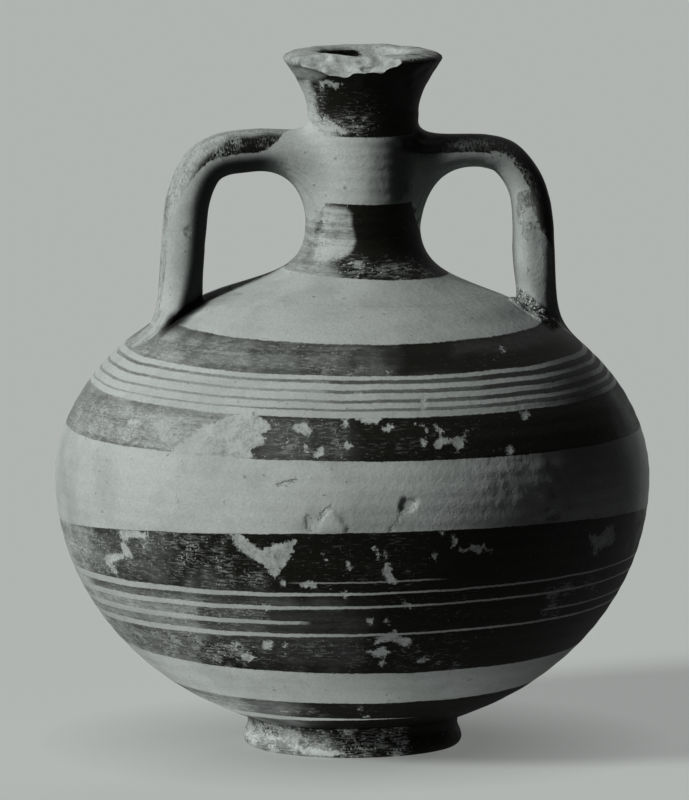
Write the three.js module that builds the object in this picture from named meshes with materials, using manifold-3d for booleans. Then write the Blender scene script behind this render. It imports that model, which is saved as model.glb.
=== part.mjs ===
// A two-handled globular jar in painted earthenware, built from the clay pieces that a potter luted together.
// Millimetres, +Z up. The origin is on the floor under the middle of the body; the handles lie along X.
import * as THREE from "three";
import { mergeVertices } from "three/addons/utils/BufferGeometryUtils.js";
import Module from "manifold-3d";

const wasm = await Module();
wasm.setup();

// Body: two half ellipses that meet at the belly line
const bodyRadius = 101;
const bellyDrop = 87.7; // depth of the lower ellipse
const shoulderRise = 70.7; // height of the upper ellipse
const bodyWall = 6;
const baseRadius = 21; // flat underside of the base

// Foot ring
const footHeight = 9.7; // where the body leaves the ring
const footRadius = 35.8; // at the ring's waist and top
const footWaistDrop = 2.7; // the waist below the top
const footBulge = 1.4; // how far the bulge stands out beyond the waist
const footBulgeHeight = 2.6;
const footRestEdge = 0.4; // outer edge of the standing face, beyond the waist
const footWall = 6.8;

// Neck, set a little to one side of the body's axis
const neckOffset = 3.6;
const neckRadius = 19.6; // at the shoulder
const neckLength = 56; // from the shoulder to the mouth's joint
const neckWall = 5;

// Ring of clay smoothed round the foot of the neck
const neckLuteReach = 10; // how far it spreads on the shoulder
const neckLuteHeight = 16.5;

// Mouth: a funnel with an everted lip
const throatRadius = 18.9; // outside, at the joint with the neck
const mouthHeight = 20;
const lipOverhang = 8; // the lip's edge beyond the throat
const lipWidth = 10.4; // from its edge to the opening
const lipDrop = 3; // the lip's edge below the top of the mouth
const funnelPower = 1.6; // how late the funnel opens

// Chip that took the front of the lip
const chipAzimuth = -29; // degrees from the front, to the left
const chipInset = 8.9; // from the lip's edge to where its slanting face meets the top
const chipSlope = 42; // degrees down from level, going outwards

// Handles: rolls that leave the neck, bend and drop to the shoulder
const handleThickness = 14; // in the plane of the handle
const handleWidth = 17;
const handleReach = 60.4; // the upright's middle from the mid axis of the pair
const handleDrop = 14.2; // the arch's middle below the mouth's joint
const handleRise = 1.5; // how far the handle climbs from the neck to the arch
const handleBend = 21.5; // length of the bend each way
const bendCut = 0.3; // how far the bend's middle stays inside its corner, as a share of the bend
const handleLean = 2.2; // how far the upright leans out on its way down

// Clay smoothed round the handles' roots: how far it spreads, and over what length of the handle
const neckRoot = {
  inner: { spread: 20, length: 22 },
  outer: { spread: 6, length: 12 },
  sides: { spread: 6, length: 14 },
};
const shoulderRoot = {
  inner: { spread: 2.5, length: 4 },
  outer: { spread: 7.5, length: 16 },
  sides: { spread: 4, length: 9 },
};

// Clearance between separate pieces, and the least edge of the smoothed clay
const seamGap = 0.3;
const luteEdge = 0.5;

// Facets
const bodyFacets = 48;
const neckFacets = 40;
const curveSteps = 11;
const handleSides = 16;
const handleSteps = 26;
const rootSteps = 9;
const footSideSteps = 8;
const footSeatSteps = 3;
const lipSteps = 7;
const pathTries = 400;

// What follows from the sizes above
const bellyHeight = footHeight + bellyDrop * Math.sqrt(1 - (footRadius / bodyRadius) ** 2);
const shoulderHeightAt = (radius) => bellyHeight + shoulderRise * Math.sqrt(1 - (radius / bodyRadius) ** 2);
const neckFootHeight = shoulderHeightAt(neckRadius);
const neckTopHeight = neckFootHeight + neckLength;
const neckBore = neckRadius - neckWall;
const neckLuteRadius = neckRadius + seamGap; // inside of the ring
const neckLuteTop = neckFootHeight + neckLuteHeight;
const throatBore = throatRadius - neckWall;
const mouthTopHeight = neckTopHeight + mouthHeight;
const lipRadius = throatRadius + lipOverhang;
const archHeight = neckTopHeight - handleDrop;
const handleMid = neckOffset / 2; // the pair of handles shares out the neck's offset
const uprightFootHeight = shoulderHeightAt(handleReach + handleLean);

const paleClay = { color: 0xb4b3a9, roughness: 0.85, metalness: 0 };
const darkPaint = { color: 0x24231e, roughness: 0.7, metalness: 0 };

const jar = new THREE.Group();

function place(name, geometry, finish) {
  geometry.computeVertexNormals();
  const mesh = new THREE.Mesh(geometry, new THREE.MeshStandardMaterial(finish));
  mesh.name = name;
  jar.add(mesh);
}

// A closed geometry as a solid that can be cut
function solid(geometry) {
  const bare = geometry.clone();
  bare.deleteAttribute("normal");
  bare.deleteAttribute("uv");
  const merged = mergeVertices(bare);
  const vertProperties = new Float32Array(merged.getAttribute("position").array);
  const triVerts = new Uint32Array(merged.index.array);
  return new wasm.Manifold(new wasm.Mesh({ numProp: 3, vertProperties, triVerts }));
}

function geometryOf(cutSolid) {
  const { numProp, vertProperties, triVerts } = cutSolid.getMesh();
  const corners = new THREE.InterleavedBuffer(vertProperties, numProp);
  const geometry = new THREE.BufferGeometry();
  geometry.setAttribute("position", new THREE.InterleavedBufferAttribute(corners, 3, 0));
  geometry.setIndex(Array.from(triVerts));
  return geometry.toNonIndexed();
}

const at = (radius, height) => new THREE.Vector2(radius, height);

// Turns a profile of radius and height round the vertical axis through axisX.
// The profile runs up the outside and down the inside, so the faces point out.
function turned(profile, facets, axisX = 0) {
  const geometry = new THREE.LatheGeometry(profile, facets);
  geometry.rotateX(Math.PI / 2); // the lathe turns round Y
  geometry.translate(axisX, 0, 0);
  return geometry;
}

function closed(profile) {
  return [...profile, profile[0].clone()];
}

// Points of an ellipse round (0, height), from one angle above level to another
function ellipseArc(radius, rise, height, fromAngle, toAngle, steps) {
  return Array.from({ length: steps + 1 }, (_, i) => {
    const angle = fromAngle + ((toAngle - fromAngle) * i) / steps;
    return at(radius * Math.cos(angle), height + rise * Math.sin(angle));
  });
}

// The shoulder's curve from the belly line to the axis
function shoulderArc(grow) {
  const arc = ellipseArc(bodyRadius + grow, shoulderRise + grow, bellyHeight, 0, Math.PI / 2, curveSteps);
  arc[curveSteps].x = 0;
  return arc;
}

// The shoulder's dome, solid down to the belly line and grown by the seam's gap
function shoulderRoom() {
  return solid(turned([at(0, bellyHeight), ...shoulderArc(seamGap)], bodyFacets));
}

function footRing() {
  const innerRadius = footRadius - footWall;
  const seatAngle = (radius) => -Math.acos(radius / bodyRadius);
  const seat = ellipseArc(
    bodyRadius,
    bellyDrop,
    bellyHeight - seamGap,
    seatAngle(footRadius),
    seatAngle(innerRadius),
    footSeatSteps,
  );
  const side = new THREE.SplineCurve([
    at(footRadius + footRestEdge, 0),
    at(footRadius + footBulge, footBulgeHeight),
    at(footRadius, footHeight - footWaistDrop),
    seat[0],
  ]);
  const profile = [at(innerRadius, 0), ...side.getPoints(footSideSteps).slice(0, -1), ...seat];
  return turned(closed(profile), bodyFacets);
}

function lowerBody() {
  const baseAngle = -Math.acos(baseRadius / bodyRadius);
  const baseHeight = bellyHeight + bellyDrop * Math.sin(baseAngle);
  const floorHeight = baseHeight + bodyWall;
  const insideDrop = bellyDrop - bodyWall;
  const floorAngle = -Math.asin((bellyHeight - floorHeight) / insideDrop);
  const profile = [
    at(0, baseHeight),
    ...ellipseArc(bodyRadius, bellyDrop, bellyHeight, baseAngle, 0, curveSteps),
    ...ellipseArc(bodyRadius - bodyWall, insideDrop, bellyHeight, 0, floorAngle, curveSteps),
    at(0, floorHeight),
  ];
  return turned(profile, bodyFacets);
}

function upperBody() {
  const inside = shoulderArc(-bodyWall).reverse();
  const shell = turned(closed([...shoulderArc(0), ...inside]), bodyFacets);
  const hole = new THREE.CylinderGeometry(neckBore, neckBore, shoulderRise, neckFacets);
  hole.rotateX(Math.PI / 2);
  hole.translate(neckOffset, 0, neckFootHeight);
  return geometryOf(solid(shell).subtract(solid(hole)));
}

function neck() {
  const profile = [
    at(neckRadius, bellyHeight),
    at(neckRadius, neckFootHeight),
    at(throatRadius, neckTopHeight),
    at(throatBore, neckTopHeight),
    at(neckBore, neckFootHeight),
    at(neckBore, bellyHeight),
  ];
  const tube = turned(closed(profile), neckFacets, neckOffset);
  return geometryOf(solid(tube).subtract(shoulderRoom()));
}

// Hollow curve of the clay round the neck's foot, from the shoulder up to the neck
function neckLuteFlare() {
  const flareHeight = neckLuteTop - shoulderHeightAt(neckRadius + neckLuteReach);
  return Array.from({ length: curveSteps + 1 }, (_, i) => {
    const angle = (Math.PI / 2) * (1 - i / curveSteps);
    const spread = neckLuteReach * (1 - Math.cos(angle));
    return at(neckLuteRadius + luteEdge + spread, neckLuteTop - flareHeight * Math.sin(angle));
  });
}

function neckLute() {
  const flare = neckLuteFlare();
  const profile = [
    at(neckLuteRadius, bellyHeight),
    at(flare[0].x, bellyHeight),
    ...flare,
    at(neckLuteRadius, neckLuteTop),
  ];
  const ring = turned(closed(profile), neckFacets, neckOffset);
  return geometryOf(solid(ring).subtract(shoulderRoom()));
}

// Outside of the funnel, opening faster towards the lip
function funnelCurve() {
  return Array.from({ length: curveSteps + 1 }, (_, i) => {
    const share = i / curveSteps;
    const height = neckTopHeight + (mouthHeight - lipDrop) * share;
    return at(throatRadius + lipOverhang * share ** funnelPower, height);
  });
}

function mouth() {
  const outside = funnelCurve();
  const lip = new THREE.SplineCurve([
    outside[curveSteps],
    at(lipRadius - lipWidth / 3, mouthTopHeight - lipDrop / 4),
    at(lipRadius - (lipWidth * 2) / 3, mouthTopHeight),
    at(lipRadius - lipWidth, mouthTopHeight - lipDrop / 3),
  ]);
  const profile = [...outside, ...lip.getPoints(lipSteps).slice(1), at(throatBore, neckTopHeight)];
  const funnel = turned(closed(profile), neckFacets, neckOffset);

  const chip = new THREE.BoxGeometry(lipRadius * 3, lipRadius * 2, mouthHeight);
  chip.translate(0, 0, mouthHeight / 2);
  chip.rotateX(THREE.MathUtils.degToRad(chipSlope)); // its lower face slants down towards the front
  chip.translate(0, chipInset - lipRadius, 0);
  chip.rotateZ(THREE.MathUtils.degToRad(chipAzimuth));
  chip.translate(neckOffset, 0, mouthTopHeight);
  return geometryOf(solid(funnel).subtract(solid(chip)));
}

// Neck, lute and funnel as one solid grown by the seam's gap, to cut the handles' roots
function neckRoom() {
  const flare = neckLuteFlare();
  const outline = [at(flare[0].x, bellyHeight), ...flare, ...funnelCurve()];
  const grown = outline.map((point) => at(point.x + seamGap, point.y));
  const profile = [at(0, bellyHeight), ...grown, at(0, mouthTopHeight - lipDrop)];
  return solid(turned(profile, neckFacets, neckOffset));
}

// Middle line of a handle in its own plane: x outwards from the mid axis of the pair, z up.
// It starts inside the neck and ends inside the shoulder.
function handlePath() {
  const bendFoot = archHeight - handleBend;
  const cut = handleBend * bendCut;
  const leanAt = (height) => (handleLean * (bendFoot - height)) / (bendFoot - uprightFootHeight);
  const upright = (height) => new THREE.Vector3(handleReach + leanAt(height), 0, height);
  return new THREE.CatmullRomCurve3([
    new THREE.Vector3(0, 0, archHeight - handleRise),
    new THREE.Vector3(handleReach - handleBend, 0, archHeight),
    new THREE.Vector3(handleReach - cut, 0, archHeight - cut),
    upright(bendFoot),
    upright((bendFoot + uprightFootHeight) / 2),
    upright(uprightFootHeight),
    upright(uprightFootHeight - handleBend),
  ]);
}

// The even roll of the handle
function roll(grow) {
  const section = new THREE.Shape();
  section.absellipse(0, 0, handleWidth / 2 + grow, handleThickness / 2 + grow, 0, 2 * Math.PI);
  return new THREE.ExtrudeGeometry(section, {
    steps: handleSteps,
    curveSegments: handleSides / 2,
    extrudePath: handlePath(),
    bevelEnabled: false,
  });
}

// The roll swollen at a root, along the handle's path between two shares of it. Each section is two half
// ellipses, whose half axes on the inner side, the outer side and to both sides come from swellAt(point).
function swollenRoll(from, to, swellAt) {
  const path = handlePath();
  const corners = [];
  const faces = [];
  for (let step = 0; step <= rootSteps; step++) {
    const share = from + ((to - from) * step) / rootSteps;
    const point = path.getPointAt(share);
    const along = path.getTangentAt(share);
    const outwards = new THREE.Vector3(-along.z, 0, along.x);
    const swell = swellAt(point);
    const flat = handleThickness / 2 + seamGap + luteEdge;
    const wide = handleWidth / 2 + seamGap + luteEdge + swell.sides;
    for (let side = 0; side < handleSides; side++) {
      const angle = (2 * Math.PI * side) / handleSides;
      const reach = flat + (Math.cos(angle) < 0 ? swell.inner : swell.outer);
      const corner = point.clone().addScaledVector(outwards, reach * Math.cos(angle));
      corners.push(corner.x, corner.y + wide * Math.sin(angle), corner.z);
    }
  }
  const ring = (step, side) => step * handleSides + (side % handleSides);
  for (let step = 0; step < rootSteps; step++)
    for (let side = 0; side < handleSides; side++) {
      faces.push(ring(step, side), ring(step + 1, side), ring(step, side + 1));
      faces.push(ring(step, side + 1), ring(step + 1, side), ring(step + 1, side + 1));
    }
  for (let side = 1; side < handleSides - 1; side++) {
    faces.push(ring(0, 0), ring(0, side), ring(0, side + 1));
    faces.push(ring(rootSteps, 0), ring(rootSteps, side + 1), ring(rootSteps, side));
  }
  const geometry = new THREE.BufferGeometry();
  geometry.setAttribute("position", new THREE.Float32BufferAttribute(corners, 3));
  geometry.setIndex(faces);
  return geometry;
}

// Quarter-round fillet: the full spread at the wall, nothing at its length away from it
function fillet({ spread, length }, distance) {
  const share = THREE.MathUtils.clamp(1 - distance / length, 0, 1);
  return spread * (1 - Math.sqrt(1 - share * share));
}

// Gentler fillet that runs out down a slope
function slopeFillet({ spread, length }, distance) {
  const share = THREE.MathUtils.clamp(1 - distance / length, 0, 1);
  return spread * share * share;
}

// Swelling towards the neck, whose wall stands at wallX
const swellToNeck = (wallX) => (point) => ({
  inner: fillet(neckRoot.inner, point.x - wallX),
  outer: fillet(neckRoot.outer, point.x - wallX),
  sides: fillet(neckRoot.sides, point.x - wallX),
});

// Swelling towards the shoulder, whose slope lies lower on the outer side
const swellToShoulder = (midX) => (point) => {
  const heightOver = (x) => point.z - shoulderHeightAt(Math.min(Math.abs(midX + x), bodyRadius));
  const outerFoot = point.x + handleThickness / 2 + shoulderRoot.outer.spread;
  return {
    inner: fillet(shoulderRoot.inner, heightOver(point.x - handleThickness / 2)),
    outer: slopeFillet(shoulderRoot.outer, heightOver(outerFoot)),
    sides: fillet(shoulderRoot.sides, heightOver(point.x)),
  };
};

// Share of the handle's path at which a test on the point first holds
function shareWhere(test) {
  const path = handlePath();
  const shares = Array.from({ length: pathTries + 1 }, (_, i) => i / pathTries);
  return shares.find((share) => test(path.getPointAt(share)));
}

// A handle with the clay round both its roots; side is -1 on the left and 1 on the right
function handle(name, side) {
  const put = (geometry) => {
    geometry.rotateZ(side < 0 ? Math.PI : 0);
    geometry.translate(handleMid, 0, 0);
    return solid(geometry);
  };
  const midX = side * handleMid;
  const wallX = midX + (neckRadius + throatRadius) / 2;
  const neckRootEnd = shareWhere((point) => point.x > wallX + neckRoot.inner.length);
  const shoulderRootStart = shareWhere((point) => point.z < uprightFootHeight + shoulderRoot.sides.length);
  const walls = neckRoom().add(shoulderRoom());
  const rollRoom = put(roll(seamGap)).add(walls);
  const neckClay = put(swollenRoll(0, neckRootEnd, swellToNeck(wallX)));
  const shoulderClay = put(swollenRoll(shoulderRootStart, 1, swellToShoulder(midX)));

  place(name, geometryOf(put(roll(0)).subtract(walls)), paleClay);
  place(name + "_neck_lute", geometryOf(neckClay.subtract(rollRoom)), paleClay);
  place(name + "_shoulder_lute", geometryOf(shoulderClay.subtract(rollRoom)), paleClay);
}

place("foot_ring", footRing(), darkPaint);
place("lower_body", lowerBody(), paleClay);
place("upper_body", upperBody(), paleClay);
place("neck", neck(), paleClay);
place("neck_lute", neckLute(), darkPaint);
place("mouth", mouth(), darkPaint);
handle("left_handle", -1);
handle("right_handle", 1);

export default jar;
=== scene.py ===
from functools import partial

import bpy
import numpy as np
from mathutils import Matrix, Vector


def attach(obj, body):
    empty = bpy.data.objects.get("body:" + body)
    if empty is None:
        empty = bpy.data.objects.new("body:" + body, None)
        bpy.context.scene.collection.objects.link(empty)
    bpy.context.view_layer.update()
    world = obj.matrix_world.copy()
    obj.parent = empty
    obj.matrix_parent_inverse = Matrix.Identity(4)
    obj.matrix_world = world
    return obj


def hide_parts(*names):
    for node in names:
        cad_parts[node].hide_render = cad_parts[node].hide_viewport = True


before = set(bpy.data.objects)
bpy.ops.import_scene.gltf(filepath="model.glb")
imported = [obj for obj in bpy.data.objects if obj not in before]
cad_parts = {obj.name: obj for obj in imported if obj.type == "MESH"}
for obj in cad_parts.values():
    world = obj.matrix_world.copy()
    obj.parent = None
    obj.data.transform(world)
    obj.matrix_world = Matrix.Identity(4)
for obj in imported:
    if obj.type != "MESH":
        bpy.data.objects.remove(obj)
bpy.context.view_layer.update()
mm = 0.001
print("frame loaded:", len(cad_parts), "clay pieces")

# The photograph's view: a long lens, a little above the jar and to the left of its front.
# Wear is placed by the photograph's pixels.
picture = {
    "width": 689,  # pixels
    "height": 800,
    "pixel": 0.34 * mm,  # size of a pixel at the jar's axis
    "distance": 4.08,
    "elevation": 7.5,  # degrees
    "azimuth": -8.5,  # degrees from the front, to the right
    "across": -2.7 * mm,  # where the middle of the picture lies, right of the axis
    "up": 117.5 * mm,
}
viewTilt, viewTurn = np.radians((picture["elevation"], picture["azimuth"]))
skyward = np.array((0.0, 0.0, 1.0))
viewRight = np.array((np.cos(viewTurn), np.sin(viewTurn), 0.0))
viewFront = np.array((np.sin(viewTurn), -np.cos(viewTurn), 0.0))  # level, towards the camera
viewUp = skyward * np.cos(viewTilt) - viewFront * np.sin(viewTilt)
viewBack = viewFront * np.cos(viewTilt) + skyward * np.sin(viewTilt)  # towards the camera
viewAim = viewRight * picture["across"] + skyward * picture["up"]


def photoPixels(points):
    # perspective: each point's offset from the aim, shrunk by its distance from the lens
    offset = points - viewAim
    scale = picture["distance"] / (picture["distance"] - offset @ viewBack) / picture["pixel"]
    return picture["width"] / 2 + offset @ viewRight * scale, picture["height"] / 2 - offset @ viewUp * scale


latticePrimes = np.array((73856093, 19349663, 83492791))


def lumps(points, size, seed):
    # smooth lattice noise from -1 to 1: a random number at each corner of a cube, blended between corners
    spot = points / size
    cell = np.floor(spot).astype(np.int64)
    share = spot - cell
    share = share * share * (3 - 2 * share)
    total = np.zeros(points.shape[:-1])
    for corner in np.ndindex(2, 2, 2):
        key = np.bitwise_xor.reduce((cell + np.array(corner)) * latticePrimes, axis=-1) ^ seed * 26544357
        key = (key * 1103515245 + 12345) & 0x7FFFFFFF
        key = ((key >> 13) ^ key) * 1274126177 & 0x7FFFFFFF
        weight = np.prod(np.where(np.array(corner) == 1, share, 1 - share), axis=-1)
        total += weight * ((key & 0xFFFF) / 32767.5 - 1)
    return total


def ease(value, low, high):
    # 0 below low, 1 above high, with a smooth step between
    share = np.clip((value - low) / (high - low), 0, 1)
    return share * share * (3 - 2 * share)


def unit(vectors):
    return vectors / np.linalg.norm(vectors, axis=-1, keepdims=True)


def outward(grid):
    # normal of a grid: the step round it crossed with the step along it
    across = np.roll(grid, -1, axis=1) - np.roll(grid, 1, axis=1)
    normal = np.cross(across, np.gradient(grid, axis=0))
    return normal / np.maximum(np.linalg.norm(normal, axis=-1, keepdims=True), 1e-12)


def moved(grid, normal, distance):
    # the grid pushed out along its normals by a distance in mm
    return grid + normal * (distance * mm)[..., None]


def insideOutline(right, down, corners):
    # signed distance to a closed outline in pixels, positive inside: nearest edge, and a crossing count
    nearest = np.full(right.shape, 1e9)
    inside = np.zeros(right.shape, bool)
    for (ax, ay), (bx, by) in zip(corners, corners[1:] + corners[:1]):
        ex, ey = bx - ax, by - ay
        share = np.clip(((right - ax) * ex + (down - ay) * ey) / (ex * ex + ey * ey), 0, 1)
        nearest = np.minimum(nearest, np.hypot(right - ax - share * ex, down - ay - share * ey))
        crosses = (ay > down) != (by > down)
        inside ^= crosses & (right < ax + (down - ay) * ex / (ey if ey else 1e-9))
    return np.where(inside, nearest, -nearest)


markMargin = 25  # pixels round a mark that are worked out
unmarked = -60.0  # depth of a mark where none is near
facesCamera = 0.02  # a skin is shown where its normal leans to the camera by more than this


def markDepth(grid, outlines, shown):
    # how far each shown point lies inside the nearest mark, in mm
    right, down = photoPixels(grid)
    depth = np.full(right.shape, unmarked)
    for corners in outlines:
        left, top = np.min(corners, axis=0) - markMargin
        far, bottom = np.max(corners, axis=0) + markMargin
        near = (right > left) & (right < far) & (down > top) & (down < bottom)
        depth[near] = np.maximum(depth[near], insideOutline(right[near], down[near], corners))
    return np.where(shown, depth, unmarked) * picture["pixel"] / mm


def putSkin(node, material, grid, fields, loop=False, sharpRows=()):
    # a closed skin: rows run along the profile, columns run round and join up, and the rows join up too or
    # end in fans to a middle point
    rows, cols = grid.shape[:2]
    points = grid.reshape(-1, 3)
    values = {key: np.broadcast_to(field, (rows, cols)).reshape(-1) for key, field in fields.items()}
    index = np.arange(rows * cols).reshape(rows, cols)
    if loop:
        index = np.vstack((index, index[:1]))
    beside = np.roll(index, -1, axis=1)
    quads = np.stack((index[:-1], beside[:-1], beside[1:], index[1:]), axis=-1).reshape(-1, 4)
    fans = np.zeros((0, 3), int)
    for row, first, second in () if loop else ((0, beside[0], index[0]), (-1, index[-1], beside[-1])):
        middle = np.full(cols, len(points))
        points = np.vstack((points, grid[row].mean(axis=0)))
        values = {key: np.append(value, value[index[row]].mean()) for key, value in values.items()}
        fans = np.vstack((fans, np.stack((first, second, middle), axis=-1)))
    a, b, c, d = (points[quads[:, k]] for k in range(4))
    if np.sum(a * (np.cross(b, c) + np.cross(c, d))) < 0:  # the signed volume says inside out
        quads, fans = quads[:, ::-1], fans[:, ::-1]
    corners = np.concatenate((quads.ravel(), fans.ravel()))
    starts = np.concatenate((np.arange(len(quads)) * 4, len(quads) * 4 + np.arange(len(fans)) * 3))
    mesh = bpy.data.meshes.new(f"{node}_skin")
    mesh.vertices.add(len(points))
    mesh.vertices.foreach_set("co", points.astype(np.float32).ravel())
    mesh.loops.add(len(corners))
    mesh.loops.foreach_set("vertex_index", corners.astype(np.int32))
    mesh.polygons.add(len(starts))
    mesh.polygons.foreach_set("loop_start", starts.astype(np.int32))
    mesh.update(calc_edges=True)
    mesh.validate()
    mesh.shade_smooth()
    ends = np.empty(len(mesh.edges) * 2, np.int32)
    mesh.edges.foreach_get("vertices", ends)
    row = ends.reshape(-1, 2) // cols
    sharp = (row[:, 0] == row[:, 1]) & np.isin(row[:, 0], [r % rows for r in sharpRows])
    mesh.attributes.new("sharp_edge", "BOOLEAN", "EDGE").data.foreach_set("value", sharp)
    for key, value in values.items():
        mesh.attributes.new(key, "FLOAT", "POINT").data.foreach_set("value", value.astype(np.float32))
    mesh.materials.append(material)
    piece = bpy.data.objects.new(f"{node}_skin", mesh)
    bpy.context.scene.collection.objects.link(piece)
    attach(piece, "root")
    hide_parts(node)
    print(f"{node}_skin: {len(quads) * 2 + len(fans)} triangles")


def toLinear(hexColour):
    parts = np.array([int(hexColour[k : k + 2], 16) / 255 for k in (1, 3, 5)])
    parts = np.where(parts <= 0.04045, parts / 12.92, ((parts + 0.055) / 1.055) ** 2.4)
    return (*parts, 1.0)


def addNode(tree, kind, inputs=None, output=0, **settings):
    # a node with its settings and inputs, given back as one of its outputs
    node = tree.nodes.new(kind)
    for key, value in settings.items():
        setattr(node, key, value)
    for key, value in (inputs or {}).items():
        if isinstance(value, bpy.types.NodeSocket):
            tree.links.new(value, node.inputs[key])
        else:
            node.inputs[key].default_value = value
    return node.outputs[output] if node.outputs else None


smoothStep = {"interpolation_type": "SMOOTHSTEP"}

# Fired earthenware under a brushed slip: porous matt clay, grained and clouded, and a thin dark skin with
# a low sheen, which streaks along the brush, frays at its edges and wears off in scratches, thin places and
# flakes. Outlined fields also darken the clay as painted shade, and some thin places partly paint the sheen
potPaint = {
    "clay": "#b3b9b5",
    "dustyClay": "#9aa09c",
    "slip": "#0b0b06",
    "thinSlip": "#171710",
    "clayRoughness": 0.88,
    "slipRoughness": 0.46,
    "sheen": 0.14,  # how strongly both mirror, low for a matt pot
    "edgeWander": 0.9 * mm,  # how far a painted edge strays
    "edgeFray": 0.5 * mm,
    "edgeSoft": 0.17 * mm,
    "lineNarrowing": 0.12 * mm,  # the most that a fine line's half width loses
    "arcSoft": 0.01,  # how softly a line that is cut short ends
    # cloudy patterns: size of their lumps (mm), detail and roughness
    "patterns": {
        "wander": (20, 2.0, 0.5),
        "fray": (1.5, 2.0, 0.5),
        "streak": (1000, 4.0, 0.62),
        "chip": (1.3, 5.0, 0.68),
        "mottle": (3.2, 5.0, 0.66),
        "clusters": (7, 4.0, 0.6),
        "hairs": (0.55, 4.0, 0.6),
        "grain": (0.8, 3.0, 0.6),
        "clouds": (24, 6.0, 0.62),
        "pits": (2.3, 2.0, 0.5),
    },
    # what is read from them: a pattern, its range, and the values that the range stands for
    "readings": {
        "film": ("mottle", 0.34, 0.56, 0.6, 1.0),
        "tufts": ("clusters", 0.36, 0.66, 0.45, 1.35),
        "dusty": ("clouds", 0.45, 0.75, 0.0, 1.0),
        "tone": ("grain", 0.3, 0.7, 0.87, 1.07),
        "crumbs": ("grain", 0.4, 0.6, 0.25, 1.35),
        "faint": ("streak", 0.45, 0.8, 0.0, 1.0),
    },
}
# how much finer the brushed patterns are to the right, away and up, on turned pieces and on handles
turnedBrush = {"wander": (1, 1, 0.12), "hairs": (0.2, 0.2, 1.0), "streak": (16, 16, 560)}
handleBrush = {"wander": (1, 1, 0.12), "hairs": (1.0, 0.5, 0.25), "streak": (40, 420, 40)}


def paintHeight(add, place, stray, edge):
    # height over a painted line that may lean: its height at the axis (mm), its slope to the right and away
    height, right, away = edge
    lean = viewRight * right - viewFront * away
    level = add("ShaderNodeVectorMath", {0: place, 1: skyward - lean}, "Value", operation="DOT_PRODUCT")
    over = add("ShaderNodeMath", {0: level, 1: height * mm}, operation="SUBTRACT")
    return add("ShaderNodeMath", {0: over, 1: stray}, operation="ADD")


def brushedPattern(add, place, pattern, bands, darkLines, paleLines):
    # bands, whose edges stray with the brush: slowly along the pot, and in fine frays
    soft = potPaint["edgeSoft"]
    stray = -(potPaint["edgeWander"] + potPaint["edgeFray"]) / 2
    for word, reach in (("wander", potPaint["edgeWander"]), ("fray", potPaint["edgeFray"])):
        stray = add("ShaderNodeMath", {0: pattern[word], 1: reach, 2: stray}, operation="MULTIPLY_ADD")
    painted = 0.0
    for low, high in bands:
        below = paintHeight(add, place, stray, low)
        above = paintHeight(add, place, stray, high)
        rise = add("ShaderNodeMapRange", {"Value": below, "From Min": -soft, "From Max": soft}, **smoothStep)
        fall = add("ShaderNodeMapRange", {"Value": above, "From Min": soft, "From Max": -soft}, **smoothStep)
        band = add("ShaderNodeMath", {0: rise, 1: fall}, operation="MULTIPLY")
        painted = add("ShaderNodeMath", {0: painted, 1: band}, operation="MAXIMUM")

    # fine lines: distance from the line's middle against its half width, which grows to the left
    for dark, lines in ((True, darkLines), (False, paleLines)):
        for edge, half, growth, strength, arc in lines:
            off = paintHeight(add, place, stray, edge)
            off = add("ShaderNodeMath", {0: off}, operation="ABSOLUTE")
            loss = {0: place, 1: viewRight * growth}
            loss = add("ShaderNodeVectorMath", loss, "Value", operation="DOT_PRODUCT")
            loss = add("ShaderNodeMath", {0: loss, 1: potPaint["lineNarrowing"]}, operation="MINIMUM")
            off = add("ShaderNodeMath", {0: off, 1: loss}, operation="ADD")
            outer, inner = half * mm + soft, half * mm - soft
            line = {"Value": off, "From Min": outer, "From Max": inner, "To Max": strength}
            line = add("ShaderNodeMapRange", line, **smoothStep)
            # only on, or only off, an arc of the jar: azimuth of its middle, its half angle, on or off
            if arc:
                turn, reach = np.radians(arc[:2])
                on = float(arc[2])
                middle = viewRight * np.sin(turn) + viewFront * np.cos(turn)
                level = add("ShaderNodeVectorMath", {0: place, 1: (1, 1, 0)}, operation="MULTIPLY")
                level = add("ShaderNodeVectorMath", {0: level}, operation="NORMALIZE")
                towards = add("ShaderNodeVectorMath", {0: level, 1: middle}, "Value", operation="DOT_PRODUCT")
                outer, inner = np.cos(reach) - potPaint["arcSoft"], np.cos(reach) + potPaint["arcSoft"]
                shown = {"Value": towards, "From Min": outer, "From Max": inner}
                shown = add("ShaderNodeMapRange", {**shown, "To Min": 1 - on, "To Max": on})
                line = add("ShaderNodeMath", {0: line, 1: shown}, operation="MULTIPLY")
            if dark:
                painted = add("ShaderNodeMath", {0: painted, 1: line}, operation="MAXIMUM")
            else:
                kept = add("ShaderNodeMath", {0: 1.0, 1: line}, operation="SUBTRACT")
                painted = add("ShaderNodeMath", {0: painted, 1: kept}, operation="MULTIPLY")
    return painted


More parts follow.
